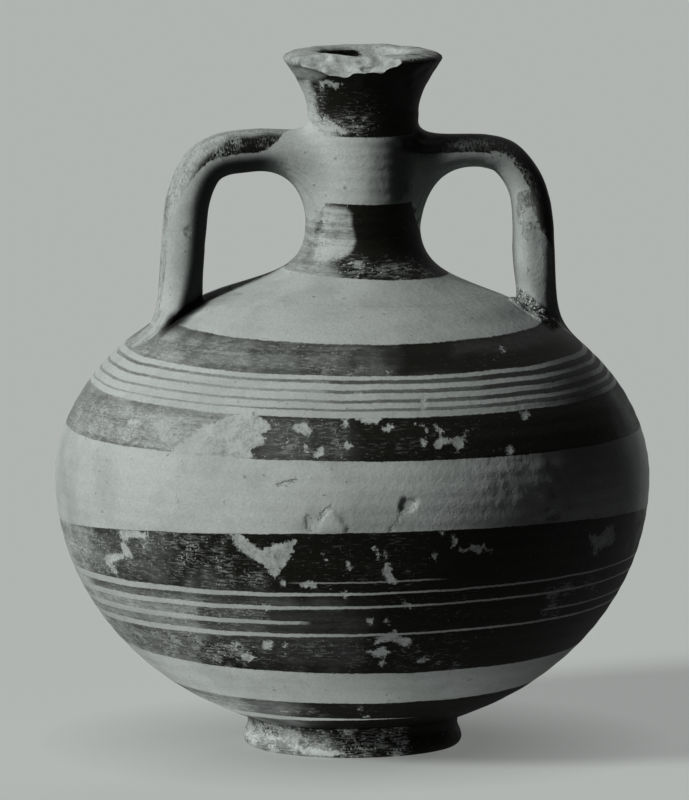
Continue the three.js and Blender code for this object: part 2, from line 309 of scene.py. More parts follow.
def slipLeft(add, pattern, reading, field, painted):
    # paint less what is lost: flakes with a ragged edge, hair scratches along the brush, crumbs, thin places,
    # which in some places partly paint the sheen
    ragged = add("ShaderNodeMath", {0: pattern["chip"], 1: 4.4, 2: field["flake"]}, operation="MULTIPLY_ADD")
    flaked = add("ShaderNodeMapRange", {"Value": ragged, "From Min": 2.0, "From Max": 2.8}, **smoothStep)
    flaked = add("ShaderNodeMath", {0: flaked, 1: reading["film"]}, operation="MULTIPLY")
    worn = add("ShaderNodeMath", {0: field["worn"], 1: reading["tufts"]}, operation="MULTIPLY")
    scratched = add("ShaderNodeMath", {0: worn, 1: 0.5, 2: pattern["hairs"]}, operation="MULTIPLY_ADD")
    scratched = {"Value": scratched, "From Min": 0.6, "From Max": 0.85}
    scratched = add("ShaderNodeMapRange", scratched, **smoothStep)
    deep = add("ShaderNodeMath", {0: worn, 1: 0.8, 2: 0.1}, operation="MULTIPLY_ADD", use_clamp=True)
    scratched = add("ShaderNodeMath", {0: scratched, 1: deep}, operation="MULTIPLY")
    crumbled = add("ShaderNodeMath", {0: worn, 1: 0.36, 2: pattern["grain"]}, operation="MULTIPLY_ADD")
    crumbled = {"Value": crumbled, "From Min": 0.72, "From Max": 0.8, "To Max": 0.85}
    crumbled = add("ShaderNodeMapRange", crumbled, **smoothStep)
    patches = pattern["clouds"]
    for share, word in ((0.35, "mottle"), (0.3, "hairs"), (0.3, "streak")):
        patches = add("ShaderNodeMix", {0: share, 2: patches, 3: pattern[word]}, 0, data_type="FLOAT")
    patches = {"Value": patches, "From Min": 0.4, "From Max": 0.6, "To Min": 0.4, "To Max": 1.55}
    patches = add("ShaderNodeMapRange", patches)
    thinnedAndSheen = add("ShaderNodeMath", {0: field["thin"], 1: patches}, operation="MULTIPLY", use_clamp=True)
    gone = flaked
    for loss in (scratched, crumbled):
        gone = add("ShaderNodeMath", {0: gone, 1: loss}, operation="MAXIMUM")
    cover = painted
    for loss in (gone, thinnedAndSheen):
        kept = add("ShaderNodeMath", {0: 1.0, 1: loss}, operation="SUBTRACT")
        cover = add("ShaderNodeMath", {0: cover, 1: kept}, operation="MULTIPLY")
    return cover


def paintedEarthenware(name, brush, bands=(), darkLines=(), paleLines=(), stripe=False):
    material = bpy.data.materials.new(name)
    material.use_nodes = True
    material.node_tree.nodes.clear()
    add = partial(addNode, material.node_tree)
    place = add("ShaderNodeTexCoord", output="Object")
    pattern = {}
    for word, (size, detail, roughness) in potPaint["patterns"].items():
        drawn = add("ShaderNodeMapping", {"Vector": place, "Scale": brush[word]}) if word in brush else place
        noise = {"Vector": drawn, "Scale": 1 / (size * mm), "Detail": detail, "Roughness": roughness}
        pattern[word] = add("ShaderNodeTexNoise", noise)
    reading = {}
    for word, (source, *limits) in potPaint["readings"].items():
        limits = dict(zip(("From Min", "From Max", "To Min", "To Max"), limits))
        reading[word] = add("ShaderNodeMapRange", {"Value": pattern[source], **limits})
    field = {}
    for word in ("flake", "worn", "thin", "spall", "crust", "grime"):
        field[word] = add("ShaderNodeAttribute", output="Fac", attribute_name=word)
    if stripe:  # along the back of a handle: the piece's own field of mm inside the stripe
        inside = add("ShaderNodeAttribute", output="Fac", attribute_name="stripe")
        frayed = add("ShaderNodeMath", {0: pattern["fray"], 1: 1.4, 2: inside}, operation="MULTIPLY_ADD")
        painted = add("ShaderNodeMapRange", {"Value": frayed, "From Min": 0.4, "From Max": 1.0}, **smoothStep)
    else:
        painted = brushedPattern(add, place, pattern, bands, darkLines, paleLines)
    cover = slipLeft(add, pattern, reading, field, painted)

    # colours: clay clouded over centimetres, grained and pricked with pits; slip thinned along the streaks
    clay = {0: reading["dusty"], 6: toLinear(potPaint["clay"]), 7: toLinear(potPaint["dustyClay"])}
    clay = add("ShaderNodeMix", clay, 2, data_type="RGBA")
    pitted = {"Value": pattern["pits"], "From Min": 0.69, "From Max": 0.75, "To Min": 1.0, "To Max": 0.6}
    pitted = add("ShaderNodeMapRange", pitted, **smoothStep)
    tone = add("ShaderNodeMath", {0: reading["tone"], 1: pitted}, operation="MULTIPLY")
    tone = add("ShaderNodeMix", {0: field["crust"], 2: tone, 3: reading["crumbs"]}, 0, data_type="FLOAT")
    # painted shade: the clay is darkened nearly to black where the shade field is full
    unshaded = add("ShaderNodeMath", {0: field["grime"], 1: -0.985, 2: 1.0}, operation="MULTIPLY_ADD")
    tone = add("ShaderNodeMath", {0: tone, 1: unshaded}, operation="MULTIPLY")
    toned = add("ShaderNodeVectorMath", {0: clay, "Scale": tone}, operation="SCALE")
    slip = {0: reading["faint"], 6: toLinear(potPaint["slip"]), 7: toLinear(potPaint["thinSlip"])}
    slip = add("ShaderNodeMix", slip, 2, data_type="RGBA")
    colour = add("ShaderNodeMix", {0: cover, 6: toned, 7: slip}, 2, data_type="RGBA")
    rough = {"Value": cover, "To Min": potPaint["clayRoughness"], "To Max": potPaint["slipRoughness"]}
    rough = add("ShaderNodeMapRange", rough)
    rough = add("ShaderNodeMath", {0: pattern["streak"], 1: 0.1, 2: rough}, operation="MULTIPLY_ADD")

    # relief in mm: clay grain and crumbs, spalls, pits, brush streaks, scratches and the slip's thickness
    broken = add("ShaderNodeMath", {0: pattern["chip"], 1: 4.0, 2: field["spall"]}, operation="MULTIPLY_ADD")
    broken = add("ShaderNodeMapRange", {"Value": broken, "From Min": 1.8, "From Max": 2.5}, **smoothStep)
    gritty = add("ShaderNodeMath", {0: field["crust"], 1: 1.6, 2: 0.1}, operation="MULTIPLY_ADD")
    relief = add("ShaderNodeMath", {0: pattern["grain"], 1: gritty}, operation="MULTIPLY")
    heights = ((broken, -0.4), (pitted, 0.12), (pattern["streak"], 0.05))
    heights += ((pattern["hairs"], 0.04), (pattern["pits"], 0.17), (cover, 0.05))
    for part, height in heights:
        relief = add("ShaderNodeMath", {0: part, 1: height, 2: relief}, operation="MULTIPLY_ADD")
    bump = add("ShaderNodeBump", {"Strength": 1.0, "Distance": mm, "Height": relief})
    shader = {"Base Color": colour, "Roughness": rough, "Normal": bump}
    shader = add("ShaderNodeBsdfPrincipled", {**shader, "Specular IOR Level": potPaint["sheen"]})
    add("ShaderNodeOutputMaterial", {"Surface": shader})
    return material


# Body: two half ellipsoids on one belly circle
jarBody = {
    "radius": 101 * mm,
    "bellyDrop": 87.7 * mm,
    "shoulderRise": 70.7 * mm,
    "wall": 6 * mm,
    "footHeight": 9.7 * mm,
    "footRadius": 35.8 * mm,
    "baseRadius": 21 * mm,
    "neckHole": 22 * mm,
    "columns": 540,
    "frontCrowding": 0.35,  # columns stand closer at the front, where the photograph shows the wear
    "skinRows": 122,
    "seatRows": 7,
    "innerRows": 22,
}
footShare = jarBody["footRadius"] / jarBody["radius"]
bellyHeight = jarBody["footHeight"] + jarBody["bellyDrop"] * np.sqrt(1 - footShare**2)

# painted bands of the body, lower and upper edge: height at the axis (mm), slope to the right, slope away
bodyBands = (
    ((-5.0, 0.0, 0.0), (14.8, 0.032, 0.0)),
    ((15.6, -0.012, 0.0), (24.2, 0.002, 0.023)),
    ((37.5, -0.006, 0.029), (79.6, 0.021, -0.065)),
    ((109.7, -0.004, 0.0), (124.5, -0.004, 0.014)),
    ((136.9, -0.004, 0.014), (146.6, -0.006, 0.026)),
)
# fine lines: edge as above, half width (mm), growth to the left, strength, arc
bodyDarkLines = (
    ((134.7, -0.005, 0.008), 0.54, -0.004, 0.92, None),
    ((131.9, -0.004, 0.008), 0.5, -0.004, 0.9, None),
    ((128.95, -0.004, 0.008), 0.46, -0.004, 0.86, None),
    ((126.4, -0.003, 0.008), 0.38, -0.004, 0.75, None),
)
bodyPaleLines = (
    ((50.4, 0.019, 0.005), 0.48, 0.008, 0.95, None),
    ((54.5, 0.012, 0.0), 0.44, 0.008, 0.9, (17, 27, False)),
    ((60.1, 0.021, 0.0), 0.46, 0.007, 0.95, None),
    ((64.9, 0.0215, 0.0), 0.45, 0.008, 0.95, None),
    ((69.0, 0.021, 0.0), 0.26, 0.0, 0.6, (3, 14, True)),
)

# crumbling clay at the right handle's foot
rootCrust = {
    "right root": [
        (513, 289), (520, 288), (531, 298), (546, 311), (559, 325), (553, 329), (540, 321), (527, 311),
        (512, 300),
    ],
}
# marks on the body, drawn round by their pixels in the photograph
bodyWear = {
    "everywhere": 0.03,  # how worn the paint is at least
    "flakes": {
        "heart": [
            (229, 533), (241, 533), (252, 544), (262, 549), (283, 541), (297, 540), (292, 555), (281, 571),
            (275, 578), (262, 565), (246, 556), (237, 549),
        ],
        "left top": [(117, 528), (150, 533), (147, 539), (130, 538), (124, 543), (119, 536)],
        "left cross": [(120, 541), (126, 542), (134, 558), (126, 559), (121, 550)],
        "left patch": [(105, 553), (122, 552), (126, 558), (114, 562), (118, 577), (110, 570), (104, 561)],
        "thin streak": [(320, 550), (323, 552), (328, 563), (326, 565)],
        "low dot": [(346, 561), (349, 562), (353, 567), (349, 571), (346, 570)],
        "flag": [
            (382, 566), (386, 562), (390, 564), (392, 572), (398, 582), (394, 585), (388, 583), (383, 575),
        ],
        "flag staff": [(371, 547), (377, 547), (380, 560), (377, 560), (375, 550), (371, 550)],
        "flag dot": [(384, 551), (387, 553), (387, 559), (384, 559)],
        "drop": [(433, 552), (437, 553), (436, 560), (431, 557)],
        "hook": [(450, 536), (455, 535), (458, 541), (454, 547), (450, 548), (452, 541)],
        "worm": [
            (456, 547), (466, 549), (472, 543), (480, 547), (485, 544), (484, 551), (478, 554), (470, 549),
            (462, 553),
        ],
        "worm tail": [(487, 548), (491, 548), (494, 552), (488, 552)],
        "butterfly": [
            (589, 533), (600, 536), (607, 527), (614, 524), (616, 535), (614, 545), (606, 547), (599, 550),
            (597, 556), (592, 554), (594, 548), (590, 543),
        ],
        "top notch": [(440, 530), (444, 530), (444, 536), (441, 536)],
        "line blot": [(279, 579), (286, 580), (286, 587), (280, 587)],
        "line patch": [(300, 583), (308, 581), (316, 582), (318, 588), (302, 588)],
        "line drip": [(261, 604), (271, 605), (265, 613)],
        "line knot": [(338, 594), (345, 590), (350, 594), (346, 599)],
        "line fork": [(400, 599), (404, 601), (411, 604), (411, 609), (402, 606)],
        "low wing": [
            (376, 638), (392, 632), (396, 629), (399, 636), (412, 638), (411, 647), (403, 648), (395, 642),
            (384, 642), (374, 646),
        ],
        "low ring": [(366, 651), (376, 650), (383, 646), (390, 652), (384, 658), (374, 657)],
        "low loop": [(378, 661), (384, 659), (387, 663), (381, 667)],
        "low dash": [(416, 661), (424, 657), (429, 659), (420, 664)],
        "low speck": [(384, 617), (388, 618), (389, 625), (385, 624)],
        "low fleck": [(365, 619), (373, 619), (372, 625), (368, 625)],
        "left blot": [(240, 653), (247, 652), (256, 658), (249, 662), (242, 660)],
        "left oval": [(261, 645), (265, 640), (271, 640), (275, 645), (270, 650), (264, 649)],
        "left dot": [(280, 645), (285, 642), (289, 645), (285, 648)],
        "left fleck": [(232, 643), (237, 639), (241, 643), (237, 647)],
        "band five": [(357, 708), (363, 708), (362, 710), (358, 710)],
        "band five dash": [(363, 716), (369, 716), (368, 718), (363, 718)],
        "upper left": [(152, 420), (168, 417), (179, 423), (168, 432), (183, 437), (170, 444), (159, 440)],
        "upper bar": [(128, 419), (141, 418), (141, 425), (128, 425)],
        "upper eye": [(288, 427), (296, 423), (306, 422), (313, 429), (307, 437), (298, 433)],
        "upper tear": [(303, 444), (307, 444), (309, 453), (304, 453)],
        "upper boot": [(320, 446), (326, 447), (324, 455), (316, 459), (312, 456)],
        "upper leaf": [(340, 446), (346, 441), (354, 445), (346, 450)],
        "upper bite": [(341, 418), (348, 418), (349, 426), (344, 429)],
        "upper bay": [(351, 416), (372, 416), (384, 418), (378, 424), (364, 424)],
        "upper bird": [(381, 428), (390, 423), (396, 426), (388, 433), (385, 433)],
        "upper dash": [(414, 422), (424, 424), (424, 427), (415, 425)],
        "upper dot": [(423, 428), (428, 428), (430, 433), (425, 432)],
        "upper step": [(433, 425), (437, 422), (439, 428), (445, 431), (441, 434), (434, 429)],
        "upper dog": [
            (434, 441), (440, 436), (450, 438), (460, 436), (467, 440), (463, 446), (458, 452), (452, 443),
            (444, 444), (440, 449), (433, 448),
        ],
        "upper post": [(420, 438), (425, 437), (427, 446), (422, 448)],
        "upper tick": [(463, 434), (467, 429), (469, 431), (465, 437)],
        "upper coin": [(505, 450), (508, 445), (513, 446), (515, 451), (511, 455), (506, 454)],
        "upper corner": [(519, 411), (530, 411), (528, 419), (522, 420)],
        "line break": [(420, 398), (426, 398), (425, 410), (420, 410)],
        "line gap": [(354, 392), (362, 392), (362, 396), (355, 396)],
        "shoulder tear": [(386, 371), (389, 373), (388, 378), (386, 377)],
        "shoulder fleck": [(499, 346), (503, 346), (506, 352), (502, 353)],
        "upper bare": [
            (172, 448), (186, 438), (197, 431), (203, 424), (214, 422), (228, 416), (242, 412), (258, 414),
            (267, 420), (272, 428), (262, 434), (268, 441), (258, 447), (250, 449), (256, 457), (236, 463),
            (168, 463),
        ],
    },
    # scratched patches: how worn the paint is, and where
    "scratches": {
        "band three left": (0.34, [
            (40, 520), (228, 530), (250, 560), (270, 570), (270, 590), (200, 592), (120, 585), (60, 570),
        ]),
        "band three middle": (0.12, [(250, 530), (430, 530), (430, 600), (250, 600)]),
        "band four left": (0.38, [(100, 615), (230, 636), (260, 640), (260, 674), (220, 672), (130, 655)]),
        "band four middle": (0.2, [(250, 636), (470, 632), (470, 672), (250, 676)]),
        "between lines left": (0.35, [
            (80, 580), (230, 598), (270, 603), (270, 635), (200, 628), (90, 610),
        ]),
        "band two left": (0.4, [(70, 396), (190, 408), (215, 425), (190, 460), (66, 440)]),
        "band two middle": (0.3, [(270, 416), (350, 418), (350, 462), (262, 462)]),
        "band two right": (0.15, [(350, 416), (480, 420), (480, 462), (350, 462)]),
        "band one scuff": (0.5, [
            (306, 366), (316, 361), (331, 362), (345, 366), (362, 363), (368, 372), (352, 380), (330, 377),
            (312, 378),
        ]),
        "band one left": (0.26, [(110, 330), (360, 343), (360, 378), (100, 362)]),
        "right rub": (0.7, [
            (546, 592), (561, 584), (575, 582), (573, 592), (560, 598), (557, 618), (543, 617), (545, 603),
        ]),
        "right nick": (0.6, [(584, 578), (595, 572), (598, 588), (590, 598)]),
        "short line": (0.45, [(345, 576), (362, 579), (384, 578), (384, 583), (360, 583)]),
        "bottom band left": (0.4, [(170, 690), (300, 705), (330, 716), (230, 722)]),
    },
    # places where the paint is thin: how thin, how soft its border is (mm), and where. Towards the lit left
    # edge these films are partly thin paint and partly painted sheen, and the film on the right edge is
    # painted sheen along the rim
    "thin": {
        # band two on the lit left: partly thin paint, partly painted sheen
        "band two far left": (0.57, 7.0, [(60, 375), (150, 400), (165, 460), (60, 440)]),
        "band two left": (0.6, 4.0, [(140, 405), (244, 408), (240, 425), (196, 462), (140, 450)]),
        # band one, thinner step by step towards the lit left: thin paint, with painted sheen on the left
        "band one far left": (0.62, 9.0, [(100, 315), (180, 330), (200, 372), (100, 362)]),
        "band one left": (0.5, 6.0, [(180, 330), (255, 338), (255, 374), (180, 368)]),
        "band one near left": (0.34, 6.0, [(248, 336), (304, 340), (304, 378), (248, 374)]),
        "band one middle": (0.3, 6.0, [(296, 338), (354, 343), (354, 380), (296, 378)]),
        "band one overlap": (0.22, 6.0, [(346, 343), (388, 345), (388, 380), (346, 380)]),
        # band two in the middle: thin paint
        "band two beside the bare place": (0.12, 3.0, [(268, 414), (312, 416), (312, 462), (258, 462)]),
        "band two middle": (0.07, 5.0, [(308, 416), (352, 418), (352, 462), (308, 462)]),
        # the lower dark zone on the lit left: partly thin paint, partly painted sheen
        "band three left": (0.17, 7.0, [(96, 528), (165, 534), (172, 586), (96, 575)]),
        "band four left": (0.34, 9.0, [(105, 612), (195, 634), (200, 676), (125, 664)]),
        "between lines left": (0.55, 7.0, [(80, 586), (200, 599), (200, 636), (105, 625)]),
        "between lines": (0.18, 10.0, [(195, 588), (262, 598), (262, 640), (195, 636)]),
        # in the middle and on the right: thin paint
        "band four middle": (0.08, 7.0, [(255, 598), (360, 604), (360, 668), (255, 660)]),
        "between lines middle": (0.17, 4.0, [(262, 597), (346, 602), (346, 612), (262, 609)]),
        "band one right": (0.07, 3.0, [(455, 346), (545, 326), (548, 340), (520, 350), (455, 354)]),
        # the dark lines, thinner on the lit left: partly thin paint, partly painted sheen
        "dark lines left": (0.52, 3.0, [(85, 340), (210, 368), (330, 380), (330, 412), (80, 400)]),
        "dark lines right": (0.24, 3.0, [(322, 382), (480, 378), (480, 410), (322, 412)]),
        # the left edge and its lines: painted sheen on thin paint
        "left edge": (0.86, 8.0, [(40, 510), (84, 520), (100, 590), (150, 670), (60, 670)]),
        "left lines": (0.62, 5.0, [(80, 574), (128, 588), (150, 612), (108, 622)]),
        # the right edge: painted sheen along the rim
        "right edge": (0.58, 4.0, [
            (612, 392), (632, 400), (662, 470), (655, 560), (632, 600), (640, 540), (641, 500), (628, 440),
        ]),
        # the bottom band on the lit left: partly thin paint, partly painted sheen
        "bottom band end": (0.88, 6.0, [(160, 680), (240, 696), (250, 722), (200, 722)]),
        "bottom band left": (0.42, 8.0, [(230, 690), (286, 703), (298, 722), (240, 722)]),
    },
    # spalls and pits in the clay, and one lump: depth in mm, and where
    "dents": {
        "lump": (-0.75, [
            (316, 534), (318, 526), (322, 516), (326, 509), (332, 507), (338, 510), (343, 518), (346, 527),
            (345, 535),
        ]),
        "lump groove": (0.5, [
            (318, 521), (321, 513), (326, 507), (331, 505), (331, 508), (326, 512), (322, 519),
        ]),
        "lump pit": (0.4, [(305, 514), (309, 514), (312, 522), (311, 531), (305, 529)]),
        "crack": (0.3, [
            (398, 513), (397, 519), (391, 526), (389, 532), (392, 532), (394, 527), (400, 520),
        ]),
        "crater": (0.9, [(400, 503), (405, 497), (417, 500), (414, 508), (404, 513), (399, 512)]),
        "right pit": (0.25, [(504, 482), (510, 482), (508, 490), (504, 490)]),
        "right spall": (0.6, [(546, 508), (556, 507), (561, 514), (560, 520), (547, 519)]),
        "right nick": (0.5, [(548, 486), (552, 488), (557, 496), (552, 497)]),
        "scratch": (0.35, [(276, 484), (285, 481), (298, 479), (298, 482), (286, 484), (277, 487)]),
    },
    # rough clay: height of its lumps in mm, and where
    "rough": {
        "right flank": (0.16, [(478, 456), (575, 452), (590, 512), (478, 512)]),
        "round the lump": (0.4, [(300, 505), (350, 503), (352, 536), (300, 536)]),
    },
    # painted shade in the crevice at the left handle's foot, and the painted shadow of the handle along the
    # shoulder
    # beside it: how much, how soft its border is (mm), and where
    "grime": {
        "crevice": (1.0, 1.2, [
            (198, 293), (222, 291), (210, 302), (197, 312), (185, 323), (173, 330), (159, 338), (166, 326),
            (184, 308),
        ]),
        # painted shadow of the handle's foot falling on the shoulder
        "crevice edge": (0.75, 4.0, [(206, 294), (226, 289), (236, 288), (226, 296), (212, 303)]),
    },
    "crust": rootCrust,
}
# lumps that make the wear uneven: size in mm, and seed
wearLumps = {
    "sight": (14, 43),
    "rubbed": (20, 17),
    "backThin": (26, 47),
    "thinBorder": (6, 27),
    "shadeBorder": (4, 37),
    "spallEdge": (2.2, 29),
    "spallBays": (4.5, 30),
    "rough": (5, 31),
    "fineRough": (2.2, 33),
    "crumbs": (1.4, 41),
}
bareClay = 3.0  # mm inside a flake, for a face without paint


def azimuths(columns, crowding):
    # columns round an upright axis, from the photograph's front, closer together there
    turn = np.arange(columns) / columns * 2 * np.pi
    return viewTurn + turn - crowding * np.sin(turn)


def turnedRings(radii, heights, azimuth, axisX=0.0):
    # rings about an upright axis; azimuth 0 is the front and it grows to the right
    radii, heights = np.asarray(radii)[:, None], np.asarray(heights)[:, None]
    x, y = axisX + radii * np.sin(azimuth), -radii * np.cos(azimuth)
    return np.stack((x, y, heights + 0 * azimuth), axis=-1)


def bodySurface(azimuth, lift):
    # ellipsoid point at an angle above the belly, moved along its normal by the unevenness of thrown clay
    rise = (np.where(lift > 0, jarBody["shoulderRise"], jarBody["bellyDrop"]) + 0 * azimuth)[..., None]
    side = np.stack((np.sin(azimuth), -np.cos(azimuth), 0 * azimuth), axis=-1)
    spread, climb = (np.cos(lift) + 0 * azimuth)[..., None], (np.sin(lift) + 0 * azimuth)[..., None]
    even = side * jarBody["radius"] * spread + skyward * (bellyHeight + rise * climb)
    normal = unit(side * spread / jarBody["radius"] + skyward * climb / rise)
    throwing = 0.05 * np.sin(2 * np.pi * even[..., 2] / (5.2 * mm) + azimuth)
    return moved(even, normal, 0.4 * lumps(even, 70 * mm, 3) + 0.13 * lumps(even, 15 * mm, 5) + throwing)


def shoulderAt(x, y):
    # the point of the shoulder over a place in plan
    return bodySurface(np.arctan2(x, -y), np.arccos(np.clip(np.hypot(x, y) / jarBody["radius"], 0, 1)))


def backFlakes(grid, seed, count, low, high):
    # flakes where the photograph does not reach: seeded spots with a lumpy radius, mm inside
    pick = np.random.default_rng(seed)
    turns = viewTurn + np.radians(pick.uniform(88, 272, count))
    heights = pick.uniform(low, high, count) * mm
    sizes = pick.uniform(0.6, 3.4, count) * mm
    ragged = 1 + 0.6 * lumps(grid, 3.5 * mm, seed)
    reach = np.hypot(grid[..., 0], grid[..., 1])
    azimuth = np.arctan2(grid[..., 0], -grid[..., 1])
    depth = np.full(grid.shape[:2], unmarked)
    for turn, height, size in zip(turns, heights, sizes):
        across = (azimuth - turn + np.pi) % (2 * np.pi) - np.pi
        away = np.hypot(across * reach * 0.6, grid[..., 2] - height)
        depth = np.maximum(depth, (size * ragged - away) / mm)
    return depth


def wornSkin(grid, wear):
    # fields of a painted skin from its marks, and the skin with its flakes, pits and rough places
    normal = outward(grid)
    facing = normal @ viewBack
    shown = facing > facesCamera
    lump = {word: lumps(grid, size * mm, seed) for word, (size, seed) in wearLumps.items()}
    flake = markDepth(grid, wear.get("flakes", {}).values(), shown)
    seen = ease(facing + 0.2 * lump["sight"], -0.8, -0.25)  # soft marks run out beyond the edge of sight
    worn = wear["everywhere"] + 0.12 * np.clip(lump["rubbed"], 0, 1)
    for amount, corners in wear.get("scratches", {}).values():
        worn = np.maximum(worn, amount * seen * ease(markDepth(grid, [corners], True), -4, 4))
    thin = 0.45 * (1 - seen) * ease(lump["backThin"], 0.1, 0.9)
    for amount, border, corners in wear.get("thin", {}).values():
        inside = markDepth(grid, [corners], True) + border * 0.5 * lump["thinBorder"]
        thin = np.maximum(thin, amount * seen * ease(inside, -border, border))
    # painted shade: darkening laid on the clay inside outlines, where shade falls in crevices and beside the
    # handles
    grime = np.zeros(grid.shape[:2])
    for amount, border, corners in wear.get("grime", {}).values():
        inside = markDepth(grid, [corners], shown) + border * 0.5 * lump["shadeBorder"]
        grime = np.maximum(grime, amount * ease(inside, -border, border))
    relief = -0.12 * ease(flake, -0.5, 0.6)
    spall = np.full(grid.shape[:2], unmarked)
    for deep, corners in wear.get("dents", {}).values():
        inside = markDepth(grid, [corners], shown)
        if deep > 0:
            spall = np.maximum(spall, inside)
        ragged = inside + 0.9 * lump["spallEdge"] + 0.8 * lump["spallBays"]
        relief = relief - deep * ease(ragged, -0.3, 1.6)
    for high, corners in wear.get("rough", {}).values():
        bumps = lump["rough"] + 0.6 * lump["fineRough"]
        relief = relief + high * ease(markDepth(grid, [corners], shown), -2, 5) * bumps
    crust = ease(markDepth(grid, wear.get("crust", {}).values(), shown), -0.8, 0.4)
    relief = relief + crust * (0.4 + 1.0 * lump["crumbs"])
    fields = {"flake": flake, "worn": worn, "thin": thin, "spall": spall, "crust": crust, "grime": grime}
    return moved(grid, normal, relief), fields


def padded(fields, before, after):
    # the fields carried on over a skin's hidden rows at either end
    return {key: np.pad(field, ((before, after), (0, 0)), mode="edge") for key, field in fields.items()}


bodyAzimuth = azimuths(jarBody["columns"], jarBody["frontCrowding"])
bodyPattern = (bodyBands, bodyDarkLines, bodyPaleLines)
bodySlip = paintedEarthenware("painted_earthenware_body", turnedBrush, *bodyPattern)


def lowerBody():
    # flat base, half ellipsoid up to the belly, then down the inside to a flat floor
    radius, wall = jarBody["radius"], jarBody["wall"]
    baseHeight = bellyHeight - jarBody["bellyDrop"] * np.sqrt(1 - (jarBody["baseRadius"] / radius) ** 2)
    baseRadii = np.array((3.0, 10.0, 16.0, 20.0)) * mm
    base = turnedRings(baseRadii, baseHeight + 0 * baseRadii, bodyAzimuth)
    baseLift, footLift = -np.arccos(jarBody["baseRadius"] / radius), -np.arccos(footShare)
    seat = bodySurface(bodyAzimuth[None], np.linspace(baseLift, footLift, jarBody["seatRows"])[:-1, None])
    skin = bodySurface(bodyAzimuth[None], np.linspace(footLift, 0, jarBody["skinRows"])[:, None])
    skin, fields = wornSkin(skin, bodyWear)
    fields["flake"] = np.maximum(fields["flake"], backFlakes(skin, seed=21, count=40, low=16, high=84))
    innerDrop = jarBody["bellyDrop"] - wall
    lift = np.linspace(0, np.arcsin((bellyHeight - baseHeight - wall) / innerDrop), jarBody["innerRows"])
    innerRadii = np.append((radius - wall) * np.cos(lift), (10 * mm, 3 * mm))
    innerHeights = np.append(bellyHeight - innerDrop * np.sin(lift), (baseHeight + wall, baseHeight + wall))
    inner = turnedRings(innerRadii, innerHeights, bodyAzimuth)
    before = len(base) + len(seat)
    inside = before + len(skin)
    fields = padded(fields, before, len(inner))
    fields["flake"][inside:] = bareClay
    edges = (len(base) - 1, inside - 1, inside)
    grid = np.concatenate((base, seat, skin, inner))
    putSkin("lower_body", bodySlip, grid, fields, sharpRows=edges)


def openTube(node, material, skin, inner, fields):
    # a ring of clay from its painted outside and its bare inside, with sharp rims
    fields = padded(fields, 0, len(inner))
    fields["flake"][len(skin) :] = bareClay
    edges = (0, len(skin) - 1, len(skin), -1)
    putSkin(node, material, np.concatenate((skin, inner)), fields, loop=True, sharpRows=edges)


def upperBody():
    # half ellipsoid from the belly to the neck's hole, and back down the inside
    inner = jarBody["radius"] - jarBody["wall"]
    top, innerTop = np.arccos(jarBody["neckHole"] / np.array((jarBody["radius"], inner)))
    skin = bodySurface(bodyAzimuth[None], np.linspace(0, top, jarBody["skinRows"])[:, None])
    skin, fields = wornSkin(skin, bodyWear)
    fields["flake"] = np.maximum(fields["flake"], backFlakes(skin, seed=22, count=30, low=109, high=145))
    lift = np.linspace(innerTop, 0, jarBody["innerRows"])
    innerHeights = bellyHeight + (jarBody["shoulderRise"] - jarBody["wall"]) * np.sin(lift)
    inside = turnedRings(inner * np.cos(lift), innerHeights, bodyAzimuth)
    openTube("upper_body", bodySlip, skin, inside, fields)


def smoothCurve(corners, steps):
    # Catmull-Rom curve through the corners, with the first and last run carried straight on
    corners = np.asarray(corners, float)
    ends = np.vstack((2 * corners[0] - corners[1], corners, 2 * corners[-1] - corners[-2]))
    share = np.linspace(0, len(corners) - 1, steps)
    run = np.minimum(share.astype(int), len(corners) - 2)
    t = (share - run)[:, None]
    p0, p1, p2, p3 = (ends[run + k] for k in range(4))
    bend = (2 * p0 - 5 * p1 + 4 * p2 - p3) * t**2 + (3 * p1 - p0 - 3 * p2 + p3) * t**3
    return 0.5 * (2 * p1 + (p2 - p0) * t + bend)


# Foot: a turned ring with a hollow waist and a low bulge
footRing = {
    "columns": 320,
    "rows": 72,
    "frontCrowding": 0.2,
    # radius and height, mm: bottom inside, round the outside, and back down the inside
    "profile": [
        (29.4, 0.5), (30.4, 0.0), (35.0, 0.0), (36.4, 0.5), (37.2, 2.4), (36.7, 4.6), (35.9, 6.6),
        (35.9, 8.4), (36.3, 9.9), (35.0, 11.4), (30.0, 9.6), (29.0, 7.6), (29.0, 4.0),
    ],
    "wear": {
        "everywhere": 0.05,
        "flakes": {
            "rest": [
                (298, 749), (312, 746), (322, 749), (334, 749), (348, 754), (334, 757), (314, 757),
                (302, 754),
            ],
            "scuff": [(350, 749), (362, 747), (376, 749), (362, 751)],
            "low": [(264, 736), (274, 735), (288, 739), (284, 742), (270, 740)],
            "ledge": [(286, 745), (298, 745), (306, 748), (296, 750)],
        },
        "scratches": {
            "left": (0.6, [
                (236, 716), (262, 716), (290, 722), (322, 730), (340, 740), (340, 762), (236, 762),
            ]),
            "middle": (0.42, [(335, 716), (410, 716), (410, 764), (335, 764)]),
            "ring mark": (0.5, [(388, 725), (405, 723), (407, 738), (390, 740)]),
        },
        "thin": {
            "left": (0.36, 3.0, [
                (236, 712), (256, 722), (268, 732), (300, 736), (328, 739), (336, 748), (336, 762),
                (236, 762),
            ]),
        },
    },
}


def foot():
    azimuth = azimuths(footRing["columns"], footRing["frontCrowding"])
    ring = smoothCurve(footRing["profile"], footRing["rows"]) * mm
    grid = turnedRings(ring[:, 0], ring[:, 1], azimuth)
    level = outward(grid) * (1, 1, 0)
    grid, fields = wornSkin(moved(grid, level, 0.22 * lumps(grid, 9 * mm, 7)), footRing["wear"])
    putSkin("foot_ring", bodySlip, grid, fields, loop=True)


